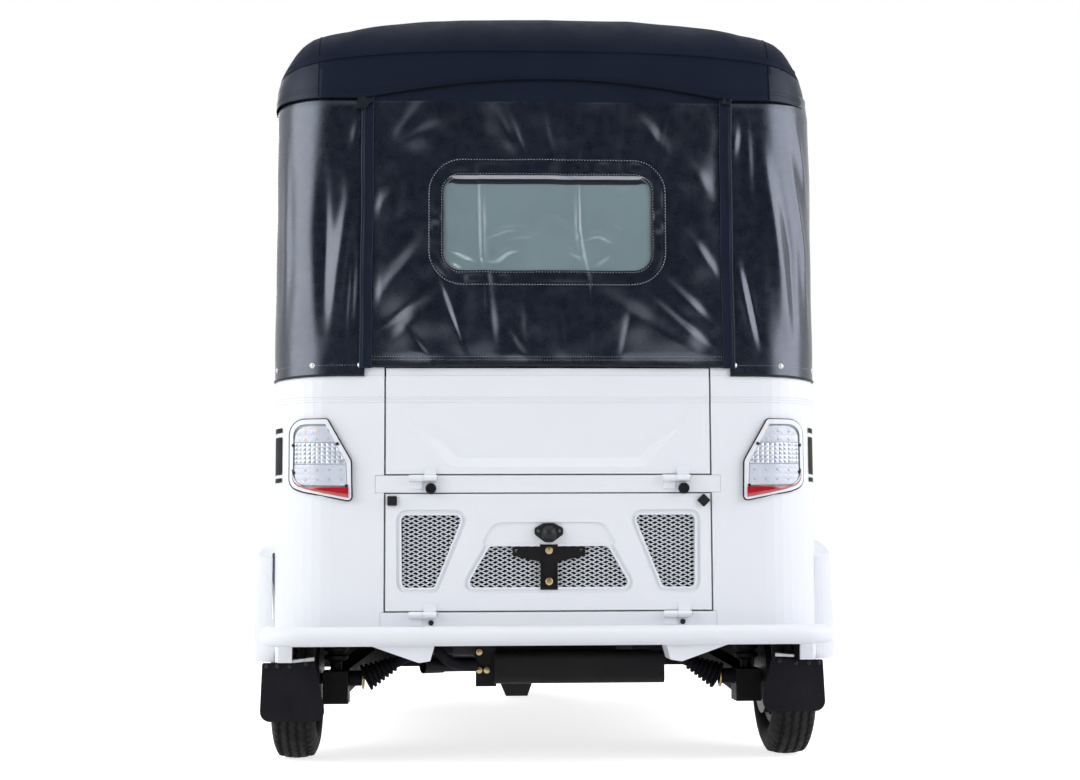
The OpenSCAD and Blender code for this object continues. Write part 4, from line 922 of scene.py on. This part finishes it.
def bake(obj):
    """Replaces a mesh by what its modifiers make of it."""
    bpy.context.view_layer.update()
    made = bpy.data.meshes.new_from_object(obj.evaluated_get(bpy.context.evaluated_depsgraph_get()))
    obj.modifiers.clear()
    obj.data = made


def points_of(obj):
    """Places of a mesh's vertices."""
    co = np.zeros(len(obj.data.vertices) * 3)
    obj.data.vertices.foreach_get("co", co)
    return co.reshape(-1, 3)


def swell(obj):
    """Blows a closed mesh up as cloth under pressure."""
    cloth = obj.modifiers.new("cloth", "CLOTH")
    cloth.settings.use_pressure = True
    cloth.settings.uniform_pressure_force = 4
    cloth.settings.effector_weights.gravity = 0
    cloth.settings.quality = 5
    cloth.settings.tension_stiffness = cloth.settings.compression_stiffness = 18
    cloth.settings.bending_stiffness = 1.2
    for f in range(1, CLOTH_FRAMES + 1):
        scene.frame_set(f)
    bake(obj)
    scene.frame_set(1)


def cushion(node, channels, depth, cap, voxel, axis):
    """A padded copy of a CAD cushion. channels are planes across y; its low side along axis rests flat."""
    src = nodes[node]
    obj = src.copy()
    obj.data = src.data.copy()
    obj.name = node + "_padded"
    obj.hide_render = obj.hide_viewport = False
    obj.parent = None
    for key in list(obj.keys()):
        del obj[key]
    scene.collection.objects.link(obj)
    co = points_of(obj)
    lo, hi = co.min(0), co.max(0)
    mid = (lo + hi) / 2
    co = mid + (co - mid) * (1 - 2 * SEAT_INSET / (hi - lo))
    obj.data.vertices.foreach_set("co", co.ravel())
    weld = obj.modifiers.new("weld", "WELD")
    weld.merge_threshold = 0.0005
    remesh = obj.modifiers.new("remesh", "REMESH")
    remesh.mode = "VOXEL"
    remesh.voxel_size = voxel
    remesh.use_smooth_shade = True
    bake(obj)
    start = points_of(obj)
    swell(obj)
    move = points_of(obj) - start
    size = np.linalg.norm(move, axis=1, keepdims=True)
    end = start + move * np.minimum(1, cap / np.maximum(size, 1e-9))
    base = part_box(node)[0][axis]
    for y in channels:
        end[:, axis] -= depth * bell(end[:, 1] - y, CHANNEL_HALF) * ramp(end[:, axis] - base, 0.04)
    end[:, axis] = np.maximum(end[:, axis], base)
    end = np.clip(end, lo + 0.0005, hi - 0.0005)
    obj.data.vertices.foreach_set("co", end.ravel())
    obj.data.materials.clear()
    obj.data.materials.append(seat_vinyl)
    sub = obj.modifiers.new("smooth", "SUBSURF")
    sub.levels = sub.render_levels = 1
    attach(obj, "body")
    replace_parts(obj, node)


BENCH_CHANNELS = (-0.39, -0.195, 0, 0.195, 0.39)
cushion("passenger_cushion", BENCH_CHANNELS, 0.012, 0.026, 0.010, 2)
cushion("passenger_backrest", BENCH_CHANNELS, 0.012, 0.026, 0.010, 0)
cushion("driver_seat", (-0.13, 0, 0.13), 0.008, 0.022, 0.007, 2)

# Tail lamps: a faceted reflector in three sections with rows of small lamps, and the screws of the housing
LENS = rounded([(0.589, 0.790), (0.5075, 0.790), (0.467, 0.706), (0.4645, 0.6525), (0.589, 0.6555)],
               [0.030, 0.004, 0.012, 0.003, 0.026], 5)
LENS_OUT = 0.0105
LENS_START, LENS_END = 0.455, 0.60
# Each section: low z, high z, cell width, cell height, facet height, finish
SECTIONS = [
    (0.7530, 0.800, 0.016, 0.016, 0.0004, "pale"),
    (0.7030, 0.7520, 0.0115, 0.0098, 0.0017, "clear"),
    (0.6400, 0.7020, 0.013, 0.013, 0.0004, "pale"),
]
# Small lamps as (distance round the body, z); some of the upper ones are amber
UPPER_DOTS = [(0.562, 0.779), (0.535, 0.779), (0.562, 0.760), (0.535, 0.760), (0.508, 0.779), (0.508, 0.760)]
AMBER_DOTS = {1: (0, 1, 2), -1: (4,)}
# Radius, height and sides of a small lamp
UPPER_DOT, LOWER_DOT = (0.0042, 0.0014, 12), (0.0036, 0.0012, 12)
LOWER_DOTS = [(y, z) for y in (0.560, 0.532, 0.505, 0.478) for z in (0.689, 0.667)]
SCREWS = [(0.592, 0.747), (0.4865, 0.749), (0.590, 0.684), (0.4653, 0.6525)]
SCREW_HEAD = [(0.0038, 0), (0.0038, 0.0022), (0.0030, 0.0030), (0.0012, 0.0030), (0.0010, 0.0018)]
# Red strip below the lens: place along the body, its low edge and its high edge
WEDGE = [(0.594, 0.679, 0.680), (0.5925, 0.668, 0.6705), (0.588, 0.6595, 0.6625), (0.577, 0.6515, 0.655),
         (0.557, 0.6455, 0.6495), (0.535, 0.640, 0.6492), (0.510, 0.6345, 0.6492), (0.485, 0.6295, 0.6492),
         (0.4605, 0.6250, 0.6492)]
WEDGE_OUT, WEDGE_CROWN = 0.0128, 0.0012
SCREW_OUT = 0.0110
RIM_OUT = (0.0066, 0.0108)
SEAL_OUT, SEAL_R = 0.0018, 0.0030
HOUSING = rounded([(0.599, 0.806), (0.511, 0.806), (0.456, 0.710), (0.454, 0.618), (0.565, 0.640),
                   (0.599, 0.652)],
                  [0.034, 0.006, 0.024, 0.008, 0.030, 0.026], 6)


def lamp_point(s, z, out, side):
    """Point of a tail lamp: s runs round the body from its middle plane."""
    return Vector(wrap(s, z, out, side))


def put_facets(sets, side):
    """Low pyramids over the lens, cut to its outline."""
    for z0, z1, w, h, peak, finish in SECTIONS:
        for y in np.arange(LENS_START, LENS_END, w):
            for z in np.arange(z0, z1 - 1e-6, h):
                cell = clip(box2(y, y + w, z, min(z + h, z1)), LENS)
                m = len(cell)
                if m < 3:
                    continue
                middle = [sum(p[k] for p in cell) / m for k in (0, 1)]
                verts = [lamp_point(*p, LENS_OUT, side) for p in cell]
                verts.append(lamp_point(*middle, LENS_OUT + peak, side))
                ring = [(k, (k + 1) % m, m) if side < 0 else ((k + 1) % m, k, m) for k in range(m)]
                sets[finish].put(verts, ring)


def build_tail_lamp(side, name):
    sets = {finish: Heap() for finish in ("pale", "clear", "amber", "led", "screw")}
    put_facets(sets, side)
    for k, (y, z) in enumerate(UPPER_DOTS):
        dot = sets["amber" if k in AMBER_DOTS[side] else "led"]
        dome(dot, lamp_point(y, z, LENS_OUT, side), wrap_normal(y, side), *UPPER_DOT)
    for y, z in LOWER_DOTS:
        dome(sets["led"], lamp_point(y, z, LENS_OUT, side), wrap_normal(y, side), *LOWER_DOT)
    for y, z in SCREWS:
        lathe(sets["screw"], lamp_point(y, z, SCREW_OUT, side), wrap_normal(y, side), SCREW_HEAD, 14)
    red = [[lamp_point(y, z0 + (z1 - z0) * f, WEDGE_OUT + WEDGE_CROWN * math.sin(math.pi * f), side)
            for f in (0, 0.25, 0.5, 0.75, 1)] for y, z0, z1 in WEDGE]
    wedge = add_grid(f"tail_lamp_red_{name}", np.array(red), red_lens, "red_lens")
    if side > 0:
        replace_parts(wedge, "tail_reflectors")
    seal, wall = Heap(), Heap()
    around = []
    for y, z in HOUSING:
        over = math.asin(min(1, max(0, y - FLAT_Y) / (CORNER_R + 0.001)))
        around.append(lamp_point(min(y, FLAT_Y) + over * WRAP_R, z, SEAL_OUT, side))
    tube(seal, around, SEAL_R, closed=True)
    seal.add(f"tail_lamp_seal_{name}", rubber, slot="rubber")
    m = len(LENS)
    wall.put([lamp_point(*p, out, side) for out in RIM_OUT for p in LENS],
             [(k, (k + 1) % m, m + (k + 1) % m, m + k) for k in range(m)])
    wall.add(f"tail_lamp_rim_{name}", plastic, slot="black_plastic")
    face = sets["pale"].add(f"tail_lamp_face_{name}", lens_pale, slot="lens", smooth=False)
    sets["clear"].add(f"tail_lamp_facets_{name}", lens_clear, slot="lens", smooth=False)
    sets["amber"].add(f"tail_lamp_amber_{name}", amber)
    sets["led"].add(f"tail_lamp_led_{name}", led)
    sets["screw"].add(f"tail_lamp_screws_{name}", plastic)
    return face


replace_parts(build_tail_lamp(1, "left"), "tail_lamp_lenses")
build_tail_lamp(-1, "right")

# Expanded metal in the engine door, finer than the solid's
DOOR_LOW, DOOR_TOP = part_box("engine_door")[0].z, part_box("engine_door")[1].z
MESH_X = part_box("engine_door_mesh")[0].x
MESH_LONG, MESH_SHORT = 0.0213, 0.01005
MESH_FOOT, MESH_SIDE_TOP, MESH_MID_TOP = DOOR_LOW + 0.050, DOOR_TOP - 0.046, DOOR_TOP - 0.118
MESH_CORNER = 0.012
STRAND_HALF, STRAND_TILT, STRAND_BOW = 0.0016, 0.0007, 0.0008


def strand(heap, a, b, turn):
    """One slanting strand: a strip turned out of the sheet to one side, wider where strands join."""
    verts = []
    tilt = STRAND_TILT * turn
    front, rear = MESH_X + 0.0002, MESH_X + 0.0014
    for f, wide in ((0.0, 1.15), (0.25, 0.92), (0.75, 0.92), (1.0, 1.15)):
        y = a[0] + (b[0] - a[0]) * f
        z = a[1] + (b[1] - a[1]) * f + STRAND_BOW * turn * math.sin(math.pi * f)
        w = STRAND_HALF * wide
        verts += [(front + tilt, y, z - w), (front - tilt, y, z + w),
                  (rear - tilt, y, z + w * 0.9), (rear + tilt, y, z - w * 0.9)]
    heap.put(verts, grid_faces(4, 4, closed=True))


def build_grille():
    side = rounded([(0.341, MESH_FOOT), (0.262, MESH_FOOT), (0.194, MESH_SIDE_TOP), (0.343, MESH_SIDE_TOP)],
                   MESH_CORNER)
    mid = rounded([(0.194, MESH_FOOT), (-0.194, MESH_FOOT), (-0.138, MESH_MID_TOP), (0.138, MESH_MID_TOP)],
                  MESH_CORNER)
    heap = Heap()
    for outline in (side, [(-y, z) for y, z in side], mid):
        (y0, z0), (y1, z1) = np.min(outline, axis=0), np.max(outline, axis=0)
        for j in range(int((z1 - z0) / MESH_SHORT * 2) + 2):
            for i in range(int((y1 - y0) / MESH_LONG) + 2):
                y, z = y0 + (i + (j % 2) / 2) * MESH_LONG, z0 + j * MESH_SHORT / 2
                for sy in (-1, 1):
                    a, b = (y, z), (y + sy * MESH_LONG / 2, z + MESH_SHORT / 2)
                    if inside(outline, (a[0] + b[0]) / 2, (a[1] + b[1]) / 2):
                        strand(heap, a, b, 1 if (sy > 0) == (j % 2 == 0) else -1)
    grille = heap.add("engine_door_expanded_metal", white_paint, body="engine_door", slot="body_paint",
                      smooth=False)
    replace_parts(grille, "engine_door_mesh")


build_grille()

# Bolts and small fittings; the bolts of the muffler and of the mudflaps are given as (y, z)
PLUG = [(0.0062, 0), (0.0062, 0.0009), (0.0048, 0.0011), (0.004, -0.0005)]
PLUG_Y, PLUG_Z = (0.271, -0.308), 0.339
PIN_Y, PIN_Z = (0.258, -0.328), (0.670, 0.357)
BRACKET_X, PIN_X, MUFFLER_X, FLAP_X = FACE - 0.004, FACE - 0.008, FACE + 0.084, FACE + 0.086
PIN_END = [(0.0034, -0.001), (0.0034, 0.0012), (0.0028, 0.0018), (0.0012, 0.0018)]
MUFFLER_BOLTS = [(0.142, 0.226), (0.160, 0.226), (0.160, 0.268)]
FLAP_BOLTS = [(0.653, 0.238), (0.628, 0.238), (0.600, 0.238), (0.562, 0.243),
              (-0.640, 0.238), (-0.616, 0.238), (-0.586, 0.238), (-0.546, 0.243)]
CLAMP = [(0.020, 0), (0.0265, 0.0003), (0.0270, 0.0010), (0.0270, 0.0042), (0.0262, 0.0050), (0.020, 0.0050)]
CLAMP_IN = 0.1625
# Steel strips over the mudflaps: y, low edge and high edge at both ends
FLAP_STRIPS = (((0.594, 0.2455, 0.2520), (0.543, 0.2500, 0.2580)),
               ((-0.581, 0.2520, 0.2570), (-0.536, 0.2535, 0.2610)))
STRIP_X = FACE + 0.0830
STRIP_T, STRIP_LIP = 0.0025, 0.014
STRIP_FACES = [(0, 1, 2, 3), (7, 6, 5, 4), (0, 4, 5, 1), (3, 2, 8, 9), (6, 7, 9, 8), (1, 5, 6, 2),
               (0, 3, 7, 4)]
# The breather hose's route: distance ahead of the rear face, y, z
HOSE = [(0.190, 0.150, 0.345), (0.150, 0.215, 0.335), (0.100, 0.250, 0.310), (0.080, 0.257, 0.282),
        (0.076, 0.247, 0.262), (0.076, 0.228, 0.247), (0.079, 0.203, 0.238), (0.088, 0.165, 0.236)]
HOSE_R = 0.012
AXLE = (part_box("rear_left_tyre")[0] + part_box("rear_left_tyre")[1]) / 2

gold, plugs, pins, under, flap_bolts = Heap(), Heap(), Heap(), Heap(), Heap()
hex_bolt(gold, (BRACKET_X, 0, DOOR_TOP - 0.131), 0.010, 0.0045)
dome(gold, (BRACKET_X, 0, DOOR_LOW + 0.066), REARWARD, 0.0085, 0.0012)
gold.add("plate_bracket_bolts", brass, body="engine_door")
for y in PLUG_Y:
    lathe(plugs, (FACE - 0.0002, y, PLUG_Z), REARWARD, PLUG, 16)
plugs.add("sill_plugs", plastic, slot="black_plastic")
for z in PIN_Z:
    for y in PIN_Y:
        lathe(pins, (PIN_X, y, z), (0, -1, 0), PIN_END, 14)
pins.add("hinge_pin_ends", brass)
for y, z in MUFFLER_BOLTS:
    hex_bolt(under, (MUFFLER_X, y, z), 0.009, 0.004)
under.add("muffler_mount_bolts", brass)
for y, z in FLAP_BOLTS:
    dome(flap_bolts, (FLAP_X, y, z), REARWARD, 0.0055, 0.0035, 12)
flap_bolts.add("mudflap_bolts", plastic, slot="black_plastic")

clamps, strips, hose = Heap(), Heap(), Heap()
for side, _ in SIDES:
    lathe(clamps, (AXLE.x, side * (AXLE.y - CLAMP_IN), AXLE.z), (0, side, 0), CLAMP, 28)
clamps.add("boot_clamps", brass)
for (y0, low0, high0), (y1, low1, high1) in FLAP_STRIPS:
    verts = []
    for x in (STRIP_X, STRIP_X + STRIP_T):
        verts += [(x, y0, low0), (x, y1, low1), (x, y1, high1), (x, y0, high0)]
    lip = STRIP_X + STRIP_LIP
    strips.put(verts + [(lip, y1, high1 + 0.001), (lip, y0, high0 + 0.001)], STRIP_FACES)
strips.add("mudflap_strips", steel, smooth=False)


def smooth_line(points, steps):
    """A curve through points, with steps between each two."""
    curve = []
    for i in range(len(points) - 1):
        q0, q1, q2, q3 = (points[min(max(k, 0), len(points) - 1)] for k in range(i - 1, i + 3))
        for t in (k / steps for k in range(steps)):
            square = (2 * q0 - 5 * q1 + 4 * q2 - q3) * t * t
            cube = (3 * q1 - q0 - 3 * q2 + q3) * t ** 3
            curve.append(0.5 * (2 * q1 + (q2 - q0) * t + square + cube))
    return curve + [points[-1]]


tube(hose, smooth_line([Vector((FACE + x, y, z)) for x, y, z in HOSE], 6), HOSE_R, 16)
hose.add("breather_hose", rubber, slot="rubber")

# Front lamps: fluted lenses in bright rims, and ribbed amber indicators in rubber rings
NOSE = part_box("front_lamps")[1].x - 0.018
HEAD_Y, HEAD_Z = 0.345, 0.650
GLASS_R, GLASS_CROWN = 0.0775, 0.0138
RIB_PITCH, RIB_HIGH = 0.0125, 0.0008
GLASS_ROWS, GLASS_COLS = 34, 160
HEAD_RIM = [(0.0835, -0.030), (0.0872, -0.006), (0.0878, 0.000), (0.0850, 0.0045), (0.0800, 0.0055),
            (0.0765, 0.0030)]
HEAD_BOWL = [(0.0800, -0.003), (0.0830, 0.028), (0.0790, 0.050), (0.0620, 0.080), (0.0320, 0.100),
             (0.0280, 0.125), (0.0004, 0.126)]
BLINK_X, BLINK_Y, BLINK_Z = NOSE - 0.038, 0.470, 0.790
BLINK_BOWL = [(0.033, 0.000), (0.033, 0.028), (0.027, 0.044), (0.0004, 0.046)]
BLINK_RING = [(0.034, -0.032), (0.0385, -0.030), (0.0388, -0.004), (0.0375, 0.001), (0.0342, 0.002)]
BLINK_R, BLINK_HIGH, BLINK_STEPS = 0.034, 0.0195, 15
blink_line = [(BLINK_R, -0.028), (BLINK_R, 0.0)]
for k in range(1, BLINK_STEPS + 1):
    a = k / BLINK_STEPS * math.pi / 2
    r = max(BLINK_R * math.cos(a) ** 0.7, 0.0004)
    blink_line.append((r, BLINK_HIGH * math.sin(a) - 0.0009 * (k % 2)))

rims, fluted, blinkers, rings, bowls = Heap(), Heap(), Heap(), Heap(), Heap()
for side, _ in SIDES:
    head, blink = (NOSE, side * HEAD_Y, HEAD_Z), (BLINK_X, side * BLINK_Y, BLINK_Z)
    lathe(rims, head, FORWARD, HEAD_RIM, 64)
    verts = []
    for r in np.linspace(0.0002, GLASS_R, GLASS_ROWS):
        for t in np.linspace(0, 2 * math.pi, GLASS_COLS + 1)[:-1]:
            y, z = r * math.cos(t), r * math.sin(t)
            rib = RIB_HIGH * math.cos(2 * math.pi * y / RIB_PITCH) * min(1, (GLASS_R - r) / 0.006)
            x = NOSE + 0.0030 + GLASS_CROWN * (1 - (r / GLASS_R) ** 2) + rib
            verts.append((x, side * HEAD_Y + y, HEAD_Z + z))
    fluted.put(verts, grid_faces(GLASS_ROWS, GLASS_COLS, closed=True))
    lathe(bowls, head, REARWARD, HEAD_BOWL, 48)
    lathe(bowls, blink, REARWARD, BLINK_BOWL, 32)
    lathe(blinkers, blink, FORWARD, blink_line, 40)
    lathe(rings, blink, FORWARD, BLINK_RING, 40)
rims.add("head_lamp_rims", steel)
head_lenses = fluted.add("head_lamp_lenses", lens_clear, slot="lens")
blinkers.add("indicator_lenses", indicator, slot="lens")
rings.add("indicator_rings", rubber, slot="rubber")
bowls.add("front_lamp_bowls", plastic, slot="black_plastic")
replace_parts(head_lenses, "front_lamps")

# Tread: the tyres' ribs with zigzag grooves
BEAD_R, BEAD_HALF = 0.116, 0.0315
TYRE_COLS, TYRE_PITCHES = 216, 54
GROOVES = (-0.030, -0.010, 0.010, 0.030)
GROOVE_HALF, GROOVE_DEPTH, GROOVE_SWAY = 0.0036, 0.0058, 0.0045
SHOULDER_Y = 0.033
TREAD_CROWN = 3.8


def build_tyre(node, body):
    lo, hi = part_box(node)
    centre = (lo + hi) / 2
    r_out, half = (hi.z - lo.z) / 2, (hi.y - lo.y) / 2
    wall = []
    for t in np.linspace(0, 1, 11):
        u, v, w = (1 - t) ** 2, 2 * t * (1 - t), t * t
        wall.append((u * BEAD_R + v * (BEAD_R + 0.024) + w * (r_out - 0.010),
                     u * BEAD_HALF + v * half * 1.42 + w * half * 0.90))
    over = max(y for _, y in wall) / (half - 0.0004)
    wall = [(r, y / over) for r, y in wall]
    edge_y = wall[-1][1] * 0.94
    ang = np.arange(TYRE_COLS) * 2 * math.pi / TYRE_COLS
    off_pitch = np.abs((ang * TYRE_PITCHES / (2 * math.pi)) % 1 - 0.5)
    zig = 2 * off_pitch - 0.5
    rows = [(y, np.full(TYRE_COLS, r)) for r, y in wall]
    for y in np.linspace(edge_y, -edge_y, 57):
        cut = (np.abs(y) > SHOULDER_Y) * ramp(0.18 - off_pitch, 0.06) * 0.7
        for g in GROOVES:
            cut = np.maximum(cut, ramp(GROOVE_HALF - np.abs(y - g - GROOVE_SWAY * zig), 0.0014))
        rows.append((y, r_out - 0.00015 - TREAD_CROWN * y * y - GROOVE_DEPTH * cut))
    rows += [(-y, np.full(TYRE_COLS, r)) for r, y in wall[::-1]]
    pts = np.array([np.stack([centre.x + rad * np.cos(ang), np.full(TYRE_COLS, centre.y + y),
                              centre.z + rad * np.sin(ang)], -1) for y, rad in rows])
    tyre = add_grid(node + "_tread", pts, tyre_rubber, "tyre", closed=True, body=body)
    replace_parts(tyre, node)


for wheel in ("front", "rear_left", "rear_right"):
    build_tyre(wheel + "_tyre", wheel + "_wheel")

# Side stripes: painted bands on both flanks, a little proud of the paint
STRIPES = ((0.780, 0.791), (0.682, 0.770), (0.664, 0.674))
STRIPE_COLS = 60
STRIPE_START, STRIPE_END = FLAT_Y + WRAP_R * math.radians(58), QUARTER_END - 0.04
for side, name in SIDES:
    heap = Heap()
    s = np.linspace(STRIPE_START, STRIPE_END, STRIPE_COLS)
    for z0, z1 in STRIPES:
        heap.put(np.concatenate([wrap(s, z, 0.0005, side) for z in (z0, z1)]), grid_faces(2, STRIPE_COLS))
    heap.add(f"side_stripes_{name}", stripe_black, slot="dark_paint")

# Stage: pale floor, white surroundings, soft lamps, a dark board and the photograph's camera
AMBIENT = 0.39
FLOOR_GLOW = 0.76
FLOOR_HALF = 40
BOARD_X, BOARD_HALF, BOARD_LOW, BOARD_TOP = -6.6, 3.4, 0.02, 5.0


def stage_quad(name, corners, mat):
    """A flat surface of the stage."""
    mesh = bpy.data.meshes.new(name)
    mesh.from_pydata(corners, [], [(0, 1, 2, 3)])
    mesh.materials.append(mat)
    obj = bpy.data.objects.new(name, mesh)
    scene.collection.objects.link(obj)
    return obj


def shown(tree, low, high):
    """A strength: high where the camera, a reflection or a see-through part shows it, low as light."""
    path = new_node(tree, "LightPath")
    fac = path.outputs["Is Camera Ray"]
    for ray in ("Is Glossy Ray", "Is Transmission Ray"):
        either = new_node(tree, "Math")
        either.operation = "MAXIMUM"
        tree.links.new(fac, either.inputs[0])
        tree.links.new(path.outputs[ray], either.inputs[1])
        fac = either.outputs[0]
    span = new_node(tree, "MapRange", To_Min=low, To_Max=high)
    tree.links.new(fac, span.inputs["Value"])
    return span.outputs["Result"]


def lamp(name, place, aim, size, power, colour=(1, 1, 1)):
    """A soft rectangular lamp that the camera doesn't see."""
    data = bpy.data.lights.new(name, "AREA")
    data.shape = "RECTANGLE"
    data.size, data.size_y = size
    data.energy = power
    data.color = colour
    obj = bpy.data.objects.new(name, data)
    scene.collection.objects.link(obj)
    obj.location = place
    obj.rotation_euler = (Vector(aim) - Vector(place)).to_track_quat("-Z", "Y").to_euler()
    obj.visible_camera = False


floor_white = shader("floor_white", (0.88, 0.88, 0.885), (0.86, 0.86, 0.865), 0.5, (0.75, 0.85), 60, 0.0002,
                     Emission_Color=(1, 1, 1, 1), Specular_IOR_Level=0.1)
floor = stage_quad("floor", [(x, y, 0) for x, y in box2(-FLOOR_HALF, FLOOR_HALF, -FLOOR_HALF, FLOOR_HALF)],
                   floor_white)
floor_tree = floor_white.node_tree
floor_tree.links.new(shown(floor_tree, 0.0, FLOOR_GLOW),
                     floor_tree.nodes["Principled BSDF"].inputs["Emission Strength"])
world = bpy.data.worlds.new("studio")
scene.world = world
world.use_nodes = True
background = world.node_tree.nodes["Background"]
background.inputs["Color"].default_value = (1, 1, 1, 1)
world.node_tree.links.new(shown(world.node_tree, AMBIENT, 1.0), background.inputs["Strength"])

lamp("lamp_left", (-2.45, 3.05, 1.95), (-1.1, 0.55, 1.30), (3.1, 2.3), 77)
lamp("lamp_right", (-2.45, -3.05, 1.95), (-1.1, -0.55, 1.30), (3.1, 2.3), 79, (0.96, 0.95, 1.0))
lamp("lamp_top", (-0.4, 0.0, 5.2), (-0.2, 0, 0), (4.5, 3.5), 60)
lamp("lamp_front", (4.6, 1.5, 3.0), (0.6, 0, 0.9), (2.6, 2.2), 70)

# A dark board behind the camera, as in a studio, seen only in glossy parts
board_dark = shader("board_dark", (0.02, 0.02, 0.022), (0.026, 0.026, 0.028), 2, (0.85, 0.95), 40, 0.0002,
                    Specular_IOR_Level=0.0, Emission_Color=(0.92, 0.94, 1.0, 1))
board = stage_quad("board", [(BOARD_X, y, z) for y, z in box2(-BOARD_HALF, BOARD_HALF, BOARD_LOW, BOARD_TOP)],
                   board_dark)
board_tree = board_dark.node_tree
panels = new_node(board_tree, "TexNoise", Scale=0.55, Detail=1.5)
glow = new_node(board_tree, "MapRange", From_Min=0.46, From_Max=0.74, To_Max=0.12)
board_tree.links.new(board_tree.nodes["Texture Coordinate"].outputs["Object"], panels.inputs["Vector"])
board_tree.links.new(panels.outputs["Fac"], glow.inputs["Value"])
board_tree.links.new(glow.outputs["Result"], board_tree.nodes["Principled BSDF"].inputs["Emission Strength"])
board.visible_camera = board.visible_diffuse = board.visible_transmission = board.visible_shadow = False

CAM_PLACE = (FACE - 4.0326, 0.2074, 0.4823)
CAM_YAW, CAM_PITCH, CAM_ROLL = math.radians(-2.672), math.radians(5.552), math.radians(0.233)
forward = Vector((math.cos(CAM_PITCH) * math.cos(CAM_YAW), math.cos(CAM_PITCH) * math.sin(CAM_YAW),
                  math.sin(CAM_PITCH)))
level_right = forward.cross(Vector((0, 0, 1))).normalized()
level_down = forward.cross(level_right)
right = level_right * math.cos(CAM_ROLL) + level_down * math.sin(CAM_ROLL)
down = level_down * math.cos(CAM_ROLL) - level_right * math.sin(CAM_ROLL)
camera = bpy.data.objects.new("camera", bpy.data.cameras.new("camera"))
scene.collection.objects.link(camera)
camera.data.sensor_width = 36
camera.data.sensor_fit = "HORIZONTAL"
camera.data.lens = 58.155
camera.matrix_world = Matrix.Translation(CAM_PLACE) @ Matrix((right, -down, -forward)).transposed().to_4x4()
scene.camera = camera
scene.view_settings.view_transform = "Standard"
